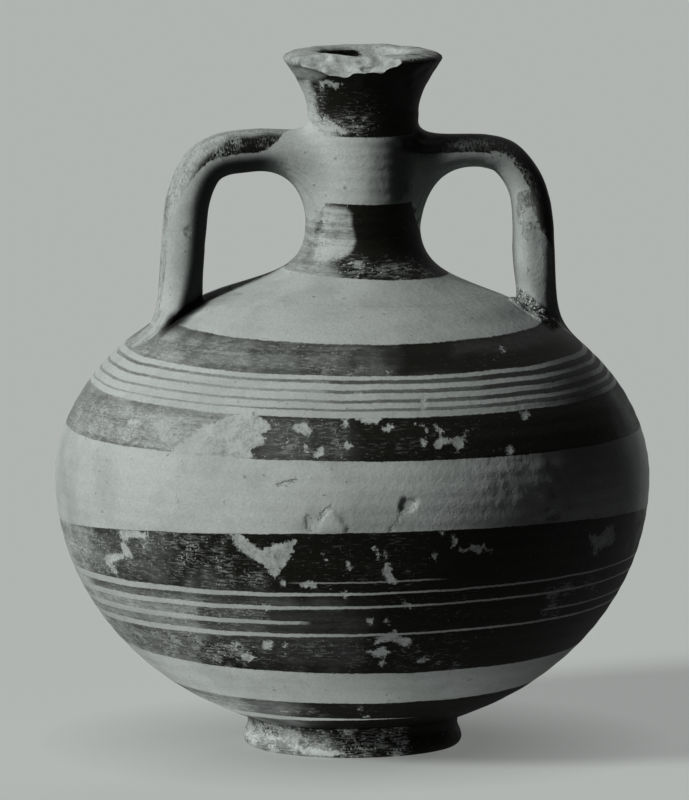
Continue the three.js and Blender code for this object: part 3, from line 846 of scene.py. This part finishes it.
# Painted shade on the neck beside the right handle: how much, how soft its border is (mm), and where
neckShade = {
    "neck side": (0.66, 2.4, [
        (388, 142), (412, 142), (412, 160), (410, 190), (406, 204), (390, 204), (386, 170),
    ]),
    "under the handle": (0.9, 1.6, [(398, 134), (424, 132), (424, 153), (412, 156), (400, 152)]),
}
# Neck, its flare on the shoulder, and the funnel mouth with a broken lip
neckParts = {
    "axis": 3.6 * mm,
    "footHeight": 161.1 * mm,
    "topHeight": 217.1 * mm,
    "footRadius": 19.6 * mm,
    "throatRadius": 18.9 * mm,
    "bore": 14.2 * mm,
    "skinFoot": 170 * mm,  # the flare covers what is lower
    "boreFoot": 152 * mm,
    "flareTop": 178.0 * mm,
    "flareReach": 45.0 * mm,  # where it has run out on the shoulder, from the neck's axis
    "flareDrop": 13.5 * mm,  # how far it keeps to the neck
    "flareHug": 18.5 * mm,  # how far it keeps to the shoulder
    "flareBore": 16.5 * mm,
    "flareFoot": 156 * mm,
    "flareSunk": 2 * mm,  # how deep its edge goes into the shoulder
    "columns": 300,
    "frontCrowding": 0.25,
    "rows": 64,
    "boreRows": 10,
    "flareRows": 60,
    "mouthColumns": 320,
    "funnelHeight": 16.2 * mm,
    "funnelSpread": 7.7 * mm,
    "funnelPower": 1.6,
    # lip and inside of the mouth after the funnel: radius and height over the neck's top, mm
    "lip": [
        (26.6, 16.2), (26.95, 17.2), (26.4, 18.3), (23.8, 19.3), (19.6, 19.9),
        (16.2, 19.6), (14.8, 18.2), (14.3, 13.0), (14.0, 6.0), (13.9, 0.0),
    ],
    "lipRows": 60,
    # past this stretch the inside of the mouth keeps the dark slip, as painted shade inside the mouth
    "bareLip": (0.42, 0.64),  # stretch of the lip without paint
    "lipRub": (235.2, 236.4, 0.75),  # rubbed between these heights (mm), and how worn
    "lipTop": 237.0 * mm,
    "lipRadius": 26.9 * mm,
    # the broken front of the lip, a slanting face
    "break": {"azimuth": -20, "inset": 10.2 * mm, "slope": 40},
    "wear": {
        "everywhere": 0.03,
        "flakes": {
            "lip tip": [(280, 50), (300, 48), (312, 54), (303, 64), (290, 65), (280, 62)],
            "lip inside": [(368, 42), (408, 44), (405, 60), (350, 60), (360, 54), (355, 50)],
            "throat white": [(318, 80), (330, 80), (342, 84), (336, 89), (326, 85), (320, 88)],
            "throat edge": [(322, 112), (330, 120), (345, 128), (352, 134), (340, 135), (326, 128)],
        },
        "scratches": {
            "throat left": (0.55, [
                (296, 78), (332, 84), (324, 98), (325, 112), (340, 120), (366, 124), (366, 140), (296, 140),
            ]),
            "throat": (0.16, [(330, 84), (385, 90), (380, 142), (345, 140)]),
            "throat foot": (0.36, [(340, 110), (372, 114), (368, 140), (345, 140)]),
            "band left": (0.8, [(318, 238), (350, 241), (352, 256), (340, 262), (318, 262)]),
            "band foot left": (0.5, [(338, 252), (368, 256), (366, 280), (330, 276)]),
            "band foot": (0.34, [(366, 258), (420, 256), (440, 272), (430, 284), (360, 282)]),
        },
        "thin": {
            "under the lip": (0.55, 1.6, [(282, 60), (300, 66), (324, 75), (318, 81), (290, 80)]),
            "throat left": (0.88, 1.2, [
                (290, 79), (309, 79), (314, 95), (315, 108), (320, 120), (332, 127), (340, 138), (290, 145),
            ]),
            "band far left": (0.6, 1.6, [(285, 200), (330, 204), (330, 264), (308, 266), (275, 275)]),
            "band left": (0.84, 0.9, [
                (324, 206), (346, 207), (352, 214), (352, 226), (355, 240), (352, 250), (342, 258),
                (325, 264), (312, 262),
            ]),
            "band foot left": (0.62, 3.0, [(278, 256), (330, 254), (338, 278), (278, 282)]),
        },
        "dents": {
            "band pit": (0.9, [(316, 224), (321, 222), (325, 227), (322, 233), (316, 233)]),
            "lip pit": (1.3, [(360, 68), (366, 66), (374, 67), (371, 71), (363, 72)]),
        },
        # painted shade on the neck: beside the right handle, and fainter where the neck turns away from the
        # lamp
        "grime": {
            **neckShade,
            "middle": (0.3, 3.0, [(368, 142), (400, 142), (400, 204), (370, 204)]),
        },
    },
}
neckBands = (((162.3, -0.04, 0.0), (186.4, 0.0, 0.0)), ((209.2, 0.0, 0.0), (245.0, 0.0, 0.0)))


def neckSurface(azimuth, height):
    # a tube that narrows evenly from the shoulder to the throat
    share = (height - neckParts["footHeight"]) / (neckParts["topHeight"] - neckParts["footHeight"])
    narrowing = (neckParts["throatRadius"] - neckParts["footRadius"]) * np.clip(share, 0, 1)
    radius = neckParts["footRadius"] + narrowing
    side = np.stack((np.sin(azimuth), -np.cos(azimuth), 0 * azimuth), axis=-1)
    even = side * (radius + 0 * azimuth)[..., None] + skyward * (height + 0 * azimuth)[..., None]
    even = even + np.array((neckParts["axis"], 0, 0))
    return moved(even, side, 0.22 * lumps(even, 16 * mm, 11) + 0.05 * np.sin(even[..., 2] / (0.62 * mm)))


def fillet(start, startAim, end, endAim, rows):
    # cubic curve between two rings: leaves the first along its aim and reaches the second along its own
    t = np.linspace(0, 1, rows)[:, None, None]
    leaving = (1 - t) ** 3 * start + 3 * t * (1 - t) ** 2 * (start + startAim)
    return leaving + 3 * t**2 * (1 - t) * (end - endAim) + t**3 * end


neckAzimuth = azimuths(neckParts["columns"], neckParts["frontCrowding"])
neckSlip = paintedEarthenware("painted_earthenware_neck", turnedBrush, neckBands)


def neckTube():
    heights = np.linspace(neckParts["skinFoot"], neckParts["topHeight"], neckParts["rows"])
    skin = neckSurface(neckAzimuth[None], heights[:, None])
    skin, fields = wornSkin(skin, neckParts["wear"])
    heights = np.linspace(neckParts["topHeight"], neckParts["boreFoot"], neckParts["boreRows"])
    inside = turnedRings(neckParts["bore"] + 0 * heights, heights, neckAzimuth, neckParts["axis"])
    openTube("neck", neckSlip, skin, inside, fields)


def neckFlare():
    # flare: leaves the neck straight down and runs out along the shoulder
    top = neckSurface(neckAzimuth, neckParts["flareTop"])
    plan = np.stack((np.sin(neckAzimuth), -np.cos(neckAzimuth)))
    spot = plan * neckParts["flareReach"]
    beyond = plan * (neckParts["flareReach"] + mm)
    foot = shoulderAt(neckParts["axis"] + spot[0], spot[1])
    aim = unit(shoulderAt(neckParts["axis"] + beyond[0], beyond[1]) - foot)
    drop, hug = -skyward * neckParts["flareDrop"], aim * neckParts["flareHug"]
    skin = fillet(top, drop, foot, hug, neckParts["flareRows"])[::-1]
    skin, fields = wornSkin(skin, neckParts["wear"])
    under = foot - skyward * neckParts["flareSunk"]
    heights = (neckParts["flareTop"], neckParts["flareFoot"])
    inner = turnedRings([neckParts["flareBore"]] * 2, heights, neckAzimuth, neckParts["axis"])
    grid = np.concatenate((under[None], skin, inner))
    edges = (0, 1, len(skin), len(skin) + 1)
    putSkin("neck_lute", neckSlip, grid, padded(fields, 1, 2), loop=True, sharpRows=edges)


def mouthFunnel():
    azimuth = azimuths(neckParts["mouthColumns"], neckParts["frontCrowding"])
    share = np.linspace(0, 1, neckParts["rows"])[:-1]
    spread = neckParts["funnelSpread"] * share ** neckParts["funnelPower"]
    funnel = np.stack((neckParts["throatRadius"] + spread, neckParts["funnelHeight"] * share), axis=-1)
    ring = np.vstack((funnel, smoothCurve(neckParts["lip"], neckParts["lipRows"]) * mm))
    grid = turnedRings(ring[:, 0], neckParts["topHeight"] + ring[:, 1], azimuth, neckParts["axis"])
    towardsLip = ease(ring[:, 1], 0, 12 * mm)[:, None]
    uneven = 0.4 * lumps(grid, 11 * mm, 13) + 0.25 * lumps(grid, 3.5 * mm, 14)
    grid = moved(grid, outward(grid), towardsLip * uneven)
    # the break: what stands past a slanting, rippled face is pressed back on to it
    gap = neckParts["break"]
    turn, slope = np.radians((gap["azimuth"], gap["slope"]))
    away = np.array((np.sin(turn), -np.cos(turn), 0.0))
    face = away * np.sin(slope) + skyward * np.cos(slope)
    lipMiddle = np.array((neckParts["axis"], 0, neckParts["lipTop"]))
    edge = lipMiddle + away * (neckParts["lipRadius"] - gap["inset"])
    ripple = 1.5 * lumps(grid, 7.5 * mm, 15) + 0.8 * lumps(grid, 3 * mm, 16)
    past = (grid - edge) @ face / mm + ripple
    grid = moved(grid, -face, np.maximum(past, 0))
    grid, fields = wornSkin(grid, neckParts["wear"])
    alongLip = (np.arange(len(ring)) - len(funnel))[:, None]
    # the inside past the bare stretch keeps the dark slip, as painted shade inside the mouth
    start, end = (share * neckParts["lipRows"] for share in neckParts["bareLip"])
    bare = (past > 0.15) | (alongLip > start) & (alongLip < end)
    fields["flake"] = np.where(bare, bareClay, fields["flake"])
    low, high, rubbed = neckParts["lipRub"]
    fields["worn"] = np.maximum(fields["worn"], rubbed * ease(grid[..., 2] / mm, low, high))
    putSkin("mouth", neckSlip, grid, fields, loop=True, sharpRows=(0, -1))


# Handles: a flattened roll along an arch and an upright, run out on to the neck and the shoulder.
# Lists for the left and the right handle run outwards from the mid axis and up, in mm.
handleRoll = {
    "middle": 1.8 * mm,  # mid axis of the pair
    "width": 17 * mm,
    "columns": 84,
    "rows": 110,
    "rootRows": 46,
    "stations": (0, 0.4, 0.75, 1),  # where along the roll thickness and roundness are given
    "radian": 7.6,  # mm round the roll
    "innerSide": (84, 116),  # where it begins, degrees off the back
    # run-outs: how far they keep to the roll and to what carries them, as shares of the way, and how their
    # hidden edge shrinks and sinks in
    "neckRun": {"leave": -0.5, "hug": 0.34, "shrink": 0.86, "sink": 2 * mm},
    "shoulderRun": {"leave": 0.62, "hugInner": 0.06, "hugOuter": 0.36, "shrink": 0.9, "sink": 2.5 * mm},
    "left": {
        "side": -1,
        "path": [
            (0, 205.2), (20, 204.2), (36.4, 203.4), (47.0, 201.9), (53.7, 197.3),
            (57.9, 187.6), (59.3, 177.1), (60.2, 165.2), (61.4, 151.2), (63.2, 129.2),
        ],
        "thickness": (14.2, 14.8, 15.2, 15.0),  # along the roll, mm
        "roundness": (1.0, 1.0, 1.0, 1.0),  # of its section, 1 for an ellipse and less for squarer
        "neckStart": 36.0,  # where the roll begins to run out, mm outwards
        "shoulderStart": 170.0,  # the same at the shoulder, mm up
        # outlines of the roots on the neck (mm, degrees) and on the shoulder (mm)
        "neckRoot": {"height": 199.0, "up": 15.5, "down": 20.5, "angle": 52},
        "shoulderRoot": {"out": 62.5, "outer": 15.0, "inner": 10.0, "sides": 12.5, "shear": 0.4},
        "stripe": (89, 86, 72, 46, 34),  # half angle of the painted back along the roll, degrees
        "neckStripe": (0, 0.0, 0.56),  # what it narrows to on the way to the neck, from where and to where
        # more paint, drawn round by pixels
        "patches": {
            "foot": [(146, 309), (164, 311), (159, 325), (151, 338), (136, 352), (116, 352), (128, 330)],
        },
        "innerGrime": 0.92,  # painted shade on the inner side
    },
    "right": {
        "side": 1,
        "path": [
            (0, 206.0), (24, 204.2), (36.4, 202.6), (44.1, 202.0), (50.1, 200.1), (54.9, 195.3),
            (58.5, 188.4), (60.1, 179.2), (60.5, 166.8), (61.5, 155.8), (62.9, 144.8), (64.3, 125.3),
        ],
        "thickness": (11.2, 12.2, 13.6, 13.9),
        "roundness": (1.0, 0.9, 0.72, 0.72),
        "neckStart": 41.0,
        "shoulderStart": 168.0,
        "neckRoot": {"height": 198.0, "up": 16.0, "down": 24.0, "angle": 46},
        "shoulderRoot": {"out": 62.5, "outer": 15.0, "inner": 7.5, "sides": 9.5, "shear": 0.0},
        "stripe": (88, 92, 92, 92, 96, 84, 40),
        "neckStripe": (68, 0.0, 0.9),
        "patches": {
            "bend": [
                (518, 193), (526, 190), (533, 198), (533, 207), (527, 207), (523, 214), (525, 224),
                (519, 224), (517, 212),
            ],
            "below the bend": [(523, 224), (530, 222), (535, 226), (536, 236), (528, 241), (522, 234)],
        },
        "innerGrime": 0.0,
    },
    "wear": {
        "everywhere": 0.08,
        "flakes": {
            "right arch": [(489, 151), (500, 151), (512, 157), (521, 164), (512, 164), (500, 157)],
        },
        "scratches": {
            "right bend": (0.62, [
                (514, 188), (530, 190), (536, 205), (538, 222), (548, 236), (548, 252), (530, 246),
                (518, 240), (514, 215),
            ]),
            "right arch": (0.5, [(426, 126), (492, 132), (494, 150), (440, 153), (426, 150)]),
            "right edge": (0.4, [(484, 146), (505, 146), (540, 180), (540, 200), (515, 172), (488, 156)]),
            "left bend": (0.55, [(200, 146), (222, 132), (246, 132), (244, 156), (212, 162)]),
            "left arch": (0.26, [
                (160, 150), (215, 132), (290, 128), (290, 150), (210, 165), (185, 200), (180, 300),
                (150, 320), (150, 200),
            ]),
        },
        "thin": {
            "right arch": (0.07, 3.0, [
                (424, 122), (500, 126), (545, 160), (556, 215), (548, 215), (525, 175), (490, 150),
                (424, 152),
            ]),
            "right bend": (0.55, 3.0, [
                (512, 186), (530, 188), (536, 205), (540, 240), (528, 246), (514, 236),
            ]),
            "left back": (0.8, 1.2, [
                (112, 368), (140, 300), (150, 200), (168, 165), (205, 132), (230, 124), (292, 124),
                (292, 134), (245, 135), (230, 138), (222, 146), (211, 152), (200, 164), (191, 180),
                (180, 212), (174, 260), (166, 330), (152, 368),
            ]),
        },
        "dents": {
            "left pit": (0.5, [(184, 230), (189, 227), (193, 231), (190, 238), (185, 238)]),
            "left crevice": (1.6, [
                (203, 294), (193, 300), (174, 316), (158, 333), (160, 339), (178, 327), (197, 309),
                (208, 296),
            ]),
        },
        # painted shade on the handles: beside the right handle on the neck, and in the crevice at the left
        # handle's foot
        "grime": {
            **neckShade,
            "left crevice": (1.0, 1.4, [
                (207, 290), (196, 296), (183, 305), (172, 315), (163, 326), (157, 337), (164, 338),
                (178, 329), (194, 315), (211, 300),
            ]),
        },
        "crust": rootCrust,
    },
}
handleSlip = paintedEarthenware("painted_earthenware_handle", handleBrush, stripe=True)


def rollLine(shape):
    # the handle's middle line, and how far along it each point lies
    line = smoothCurve(shape["path"], 900) * mm
    return line, np.append(0, np.cumsum(np.linalg.norm(np.diff(line, axis=0), axis=1)))


def rollAt(shape, run):
    # middle points and directions at distances along the line, outwards and up
    line, length = rollLine(shape)
    before, middle, after = (
        np.stack([np.interp(run + step, length, part) for part in line.T], axis=-1) for step in (-mm, 0, mm)
    )
    return middle, unit(after - before)


def rollRuns(shape):
    # where the roll starts and stops being even
    line, length = rollLine(shape)
    half = len(line) // 2
    first = np.interp(shape["neckStart"] * mm, line[:half, 0], length[:half])
    return first, np.interp(-shape["shoulderStart"] * mm, -line[half // 2 :, 1], length[half // 2 :])


def rollSurface(shape, run, around):
    # rounded section carried along the line; angle 0 is the outer back, the sides face front and rear
    side = shape["side"]
    (out, up), (alongOut, alongUp) = (np.moveaxis(part, -1, 0)[..., None] for part in rollAt(shape, run))
    first, last = rollRuns(shape)
    share = np.clip((run - first) / (last - first), 0, 1)
    thickness = np.interp(share, handleRoll["stations"], shape["thickness"])[:, None] * mm
    power = np.interp(share, handleRoll["stations"], shape["roundness"])[:, None]
    back, front = np.cos(around), np.sin(side * around)
    lift = thickness / 2 * np.sign(back) * np.abs(back) ** power
    across = handleRoll["width"] / 2 * np.sign(front) * np.abs(front) ** power
    x = handleRoll["middle"] + side * (out - alongUp * lift)
    even = np.stack((x, -across + 0 * x, up + alongOut * lift), axis=-1)
    middle = np.stack((handleRoll["middle"] + side * out, 0 * out, up), axis=-1)
    uneven = 0.03 * lumps(even, 12 * mm, 19 + side) + 0.012 * lumps(even, 4 * mm, 23)
    return even + (even - middle) * uneven[..., None]


def neckOutline(shape, around, scale):
    # oval on the neck that the upper root runs out to
    root, side = shape["neckRoot"], shape["side"]
    rise = np.where(np.cos(around) > 0, root["up"], root["down"]) * np.cos(around)
    azimuth = side * (np.pi / 2 - np.radians(root["angle"] * scale) * np.sin(side * around))
    return neckSurface(azimuth, (root["height"] + scale * rise) * mm)


def shoulderOutline(shape, around, scale):
    # oval on the shoulder that the lower root runs out to, its front pulled outwards by the shear
    root, side = shape["shoulderRoot"], shape["side"]
    front = root["sides"] * np.sin(side * around)
    reach = np.where(np.cos(around) > 0, root["outer"], root["inner"]) * np.cos(around)
    out = root["out"] + scale * (reach + root["shear"] * np.maximum(front, 0))
    return shoulderAt(handleRoll["middle"] + side * out * mm, -scale * front * mm)


def rootSkin(shape, ring, run, outline, around, way, hug, into):
    # from a ring of the roll to its oval, and the oval's hidden edge
    (aimOut, aimUp), = rollAt(shape, np.array([run]))[1]
    oval = outline(shape, around, 1.0)
    spreading = unit(outline(shape, around, 1.04) - oval)
    reach = np.linalg.norm(oval - ring, axis=-1, keepdims=True)
    aim = np.array((shape["side"] * aimOut, 0, aimUp)) * reach
    skin = fillet(ring, aim * way["leave"], oval, spreading * reach * hug, handleRoll["rootRows"])
    hidden = oval * way["shrink"] + (1 - way["shrink"]) * oval.mean(axis=0) + np.array(into) * way["sink"]
    return skin, [hidden[None]]


def handleSkin(node, shape, around, grid, halfAngle, soil, before=(), after=()):
    # a stretch of the handle with its painted back and its inner side darkened as painted shade, and hidden
    # rows before or after it
    patch = markDepth(grid, shape["patches"].values(), outward(grid) @ viewBack > facesCamera)
    grid, fields = wornSkin(grid, handleRoll["wear"])
    offBack = np.abs(np.arctan2(np.sin(around), np.cos(around)))
    fields["stripe"] = np.maximum((np.radians(halfAngle) - offBack) * handleRoll["radian"], patch + 0.2)
    # painted shade on the inner side, eased in over the innerSide angles
    inner = ease(np.degrees(offBack), *handleRoll["innerSide"])
    fields["grime"] = np.maximum(fields["grime"], soil * inner)
    grid = np.concatenate([*before, grid, *after])
    edges = (len(before), -1 - len(after))
    putSkin(node, handleSlip, grid, padded(fields, len(before), len(after)), sharpRows=edges)


def handle(word):
    shape = handleRoll[word]
    stripe, soil = shape["stripe"], shape["innerGrime"]
    around = np.arange(handleRoll["columns"]) / handleRoll["columns"] * 2 * np.pi
    first, last = rollRuns(shape)
    runs = np.linspace(first, last, handleRoll["rows"])
    halfAngle = np.interp(runs, np.linspace(first, last, len(stripe)), stripe)[:, None]
    roll = rollSurface(shape, runs, around[None])
    handleSkin(f"{word}_handle", shape, around, roll, halfAngle, soil)

    # upper root: from the roll to an oval on the neck, where stripe and painted shade run out
    way, into = handleRoll["neckRun"], (-shape["side"], 0, 0)
    skin, hidden = rootSkin(shape, roll[0], first, neckOutline, around, way, way["hug"], into)
    share = np.linspace(1, 0, handleRoll["rootRows"])[:, None]
    atNeck, leaves, reaches = shape["neckStripe"]
    halfAngle = stripe[0] + (atNeck - stripe[0]) * ease(share, leaves, reaches)
    skin, less = skin[::-1], 1 - ease(share, 0, 0.36)
    handleSkin(f"{word}_handle_neck_lute", shape, around, skin, halfAngle, soil * less, before=hidden)

    # lower root: from the roll to an oval on the shoulder
    way = handleRoll["shoulderRun"]
    outer = ease(np.cos(around), -0.2, 1.0)[:, None]
    hug = way["hugInner"] + (way["hugOuter"] - way["hugInner"]) * outer
    skin, hidden = rootSkin(shape, roll[-1], last, shoulderOutline, around, way, hug, -skyward)
    handleSkin(f"{word}_handle_shoulder_lute", shape, around, skin, stripe[-1], soil, after=hidden)


foot()
lowerBody()
upperBody()
neckTube()
neckFlare()
mouthFunnel()
handle("left")
handle("right")
print("jar built")

# Stage: a wide pale sheet, a broad lamp from the left and a low one at the back, light thrown up by the
# sheet, most of it at the jar's left front, and a room, bright to the left, that shows in the sheen. The
# sheet's own glow is dimmer close to the foot, as painted shade round the foot
stage = {
    "sheet": 14.0,  # metres across
    "paper": "#8a8e8a",  # lit by the lamp
    "paperShine": 0.4,  # how much of it shows in the sheen
    "glowColour": "#fbfffc",
    # the glow is dimmer close to the foot, painting the shade round the foot on the sheet
    "glow": (0.165, 0.303),  # the paper's own light, close to the foot and farther off
    "glowReach": (45 * mm, 110 * mm),
    # light thrown up at the jar: strength, its spot to the right and to the front (mm), and its size (mm)
    "bounces": ((0.95, (-45, 63), (80, 112)), (0.2, (170, -20), (70, 120))),
    "lampFrom": (-61, 29.5),  # azimuth from the photograph's front and elevation, degrees
    "lampPower": 3.3,
    "lampBreadth": 15,  # degrees
    "backFrom": (159, 2),  # low light on the back
    "backPower": 2.8,
    "roundLight": 0.014,
    # the room in the sheen: azimuth and elevation of a bright side, the range it spreads over, dim and bright
    "room": {
        "left": (-115, 0, 0.2, 0.95, 0.03, 1.3),
        "backdrop": (180, 0, 0.6, 0.98, 0.0, 0.3),
        "ceiling": (0, 90, 0.25, 0.8, 0.0, 0.4),
    },
}


def viewWay(azimuth, elevation):
    # direction at an azimuth from the photograph's front
    turn, up = np.radians((azimuth, elevation))
    return (viewRight * np.sin(turn) + viewFront * np.cos(turn)) * np.cos(up) + skyward * np.sin(up)


def paperSheet():
    half = stage["sheet"] / 2
    mesh = bpy.data.meshes.new("paper_sheet")
    corners = [(-half, -half, 0), (half, -half, 0), (half, half, 0), (-half, half, 0)]
    mesh.from_pydata(corners, [], [(0, 1, 2, 3)])
    sheet = bpy.data.objects.new("paper_sheet", mesh)
    bpy.context.scene.collection.objects.link(sheet)
    material = bpy.data.materials.new("matt_paper")
    material.use_nodes = True
    material.node_tree.nodes.clear()
    add = partial(addNode, material.node_tree)
    seen = add("ShaderNodeLightPath", output="Is Camera Ray")
    glossy = add("ShaderNodeLightPath", output="Is Glossy Ray")
    through = add("ShaderNodeLightPath", output="Is Transmission Ray")
    for ray, share in ((glossy, stage["paperShine"]), (through, 1.0)):
        part = add("ShaderNodeMath", {0: ray, 1: share}, operation="MULTIPLY")
        seen = add("ShaderNodeMath", {0: seen, 1: part}, operation="MAXIMUM")
    lit = add("ShaderNodeBsdfDiffuse", {"Color": toLinear(stage["paper"])})
    place = add("ShaderNodeTexCoord", output="Object")
    away = add("ShaderNodeVectorMath", {0: place}, "Value", operation="LENGTH")
    # the sheet's own glow, dimmer close to the foot: painted shade round the foot
    (near, far), (low, high) = stage["glowReach"], stage["glow"]
    glow = {"Value": away, "From Min": near, "From Max": far, "To Min": low, "To Max": high}
    glow = add("ShaderNodeMapRange", glow)
    glow = add("ShaderNodeEmission", {"Color": toLinear(stage["glowColour"]), "Strength": glow})
    paper = add("ShaderNodeAddShader", {0: lit, 1: glow})
    # the light thrown up falls off from each spot as a bell curve, and does not show in the sheen
    thrown = 0.0
    for strength, (right, front), (wide, deep) in stage["bounces"]:
        spot = (viewRight * right + viewFront * front) * mm
        size = (wide * mm, deep * mm, 1)
        off = {"Vector": place, "Location": spot, "Rotation": (0, 0, viewTurn), "Scale": size}
        off = add("ShaderNodeMapping", off, vector_type="TEXTURE")
        off = add("ShaderNodeVectorMath", {0: off, 1: off}, "Value", operation="DOT_PRODUCT")
        bell = add("ShaderNodeMath", {0: np.exp(-1), 1: off}, operation="POWER")
        thrown = add("ShaderNodeMath", {0: bell, 1: strength, 2: thrown}, operation="MULTIPLY_ADD")
    matt = add("ShaderNodeMath", {0: 1.0, 1: glossy}, operation="SUBTRACT")
    thrown = add("ShaderNodeMath", {0: thrown, 1: matt}, operation="MULTIPLY")
    thrown = add("ShaderNodeEmission", {"Color": (1, 1, 1, 1), "Strength": thrown})
    shown = add("ShaderNodeMixShader", {0: seen, 1: thrown, 2: paper})
    add("ShaderNodeOutputMaterial", {"Surface": shown})
    mesh.materials.append(material)


def lights():
    for name in ("lamp", "back"):
        towards = Vector(viewWay(*stage[name + "From"]))
        lamp = bpy.data.lights.new("broad_" + name, "SUN")
        lamp.energy = stage[name + "Power"]
        lamp.angle = np.radians(stage["lampBreadth"])
        holder = bpy.data.objects.new(lamp.name, lamp)
        holder.visible_glossy = name == "lamp"
        holder.rotation_euler = towards.to_track_quat("Z", "Y").to_euler()
        holder.location = towards * 2
        bpy.context.scene.collection.objects.link(holder)
    world = bpy.data.worlds.new("room")
    world.use_nodes = True
    world.node_tree.nodes.clear()
    add = partial(addNode, world.node_tree)
    way = add("ShaderNodeTexCoord", output="Generated")
    sheen = 0.0
    for azimuth, elevation, low, high, dim, bright in stage["room"].values():
        side = {0: way, 1: viewWay(azimuth, elevation)}
        side = add("ShaderNodeVectorMath", side, "Value", operation="DOT_PRODUCT")
        side = {"Value": side, "From Min": low, "From Max": high, "To Min": dim, "To Max": bright}
        side = add("ShaderNodeMapRange", side, **smoothStep)
        sheen = add("ShaderNodeMath", {0: sheen, 1: side}, operation="MAXIMUM")
    glossy = add("ShaderNodeLightPath", output="Is Glossy Ray")
    strength = add("ShaderNodeMix", {0: glossy, 2: stage["roundLight"], 3: sheen}, 0, data_type="FLOAT")
    sky = add("ShaderNodeBackground", {"Color": (1, 1, 1, 1), "Strength": strength})
    add("ShaderNodeOutputWorld", {"Surface": sky})
    bpy.context.scene.world = world


def camera():
    lens = bpy.data.cameras.new("long_lens")
    lens.sensor_width = 36
    # the sensor spans the picture's height
    lens.lens = lens.sensor_width * picture["distance"] / (picture["height"] * picture["pixel"])
    lens.clip_end = 60
    holder = bpy.data.objects.new("long_lens", lens)
    holder.location = Vector(viewAim + viewBack * picture["distance"])
    holder.rotation_euler = Vector(viewBack).to_track_quat("Z", "Y").to_euler()
    bpy.context.scene.collection.objects.link(holder)
    bpy.context.scene.camera = holder


paperSheet()
lights()
camera()
bpy.context.scene.view_settings.view_transform = "Standard"
print("stage set")
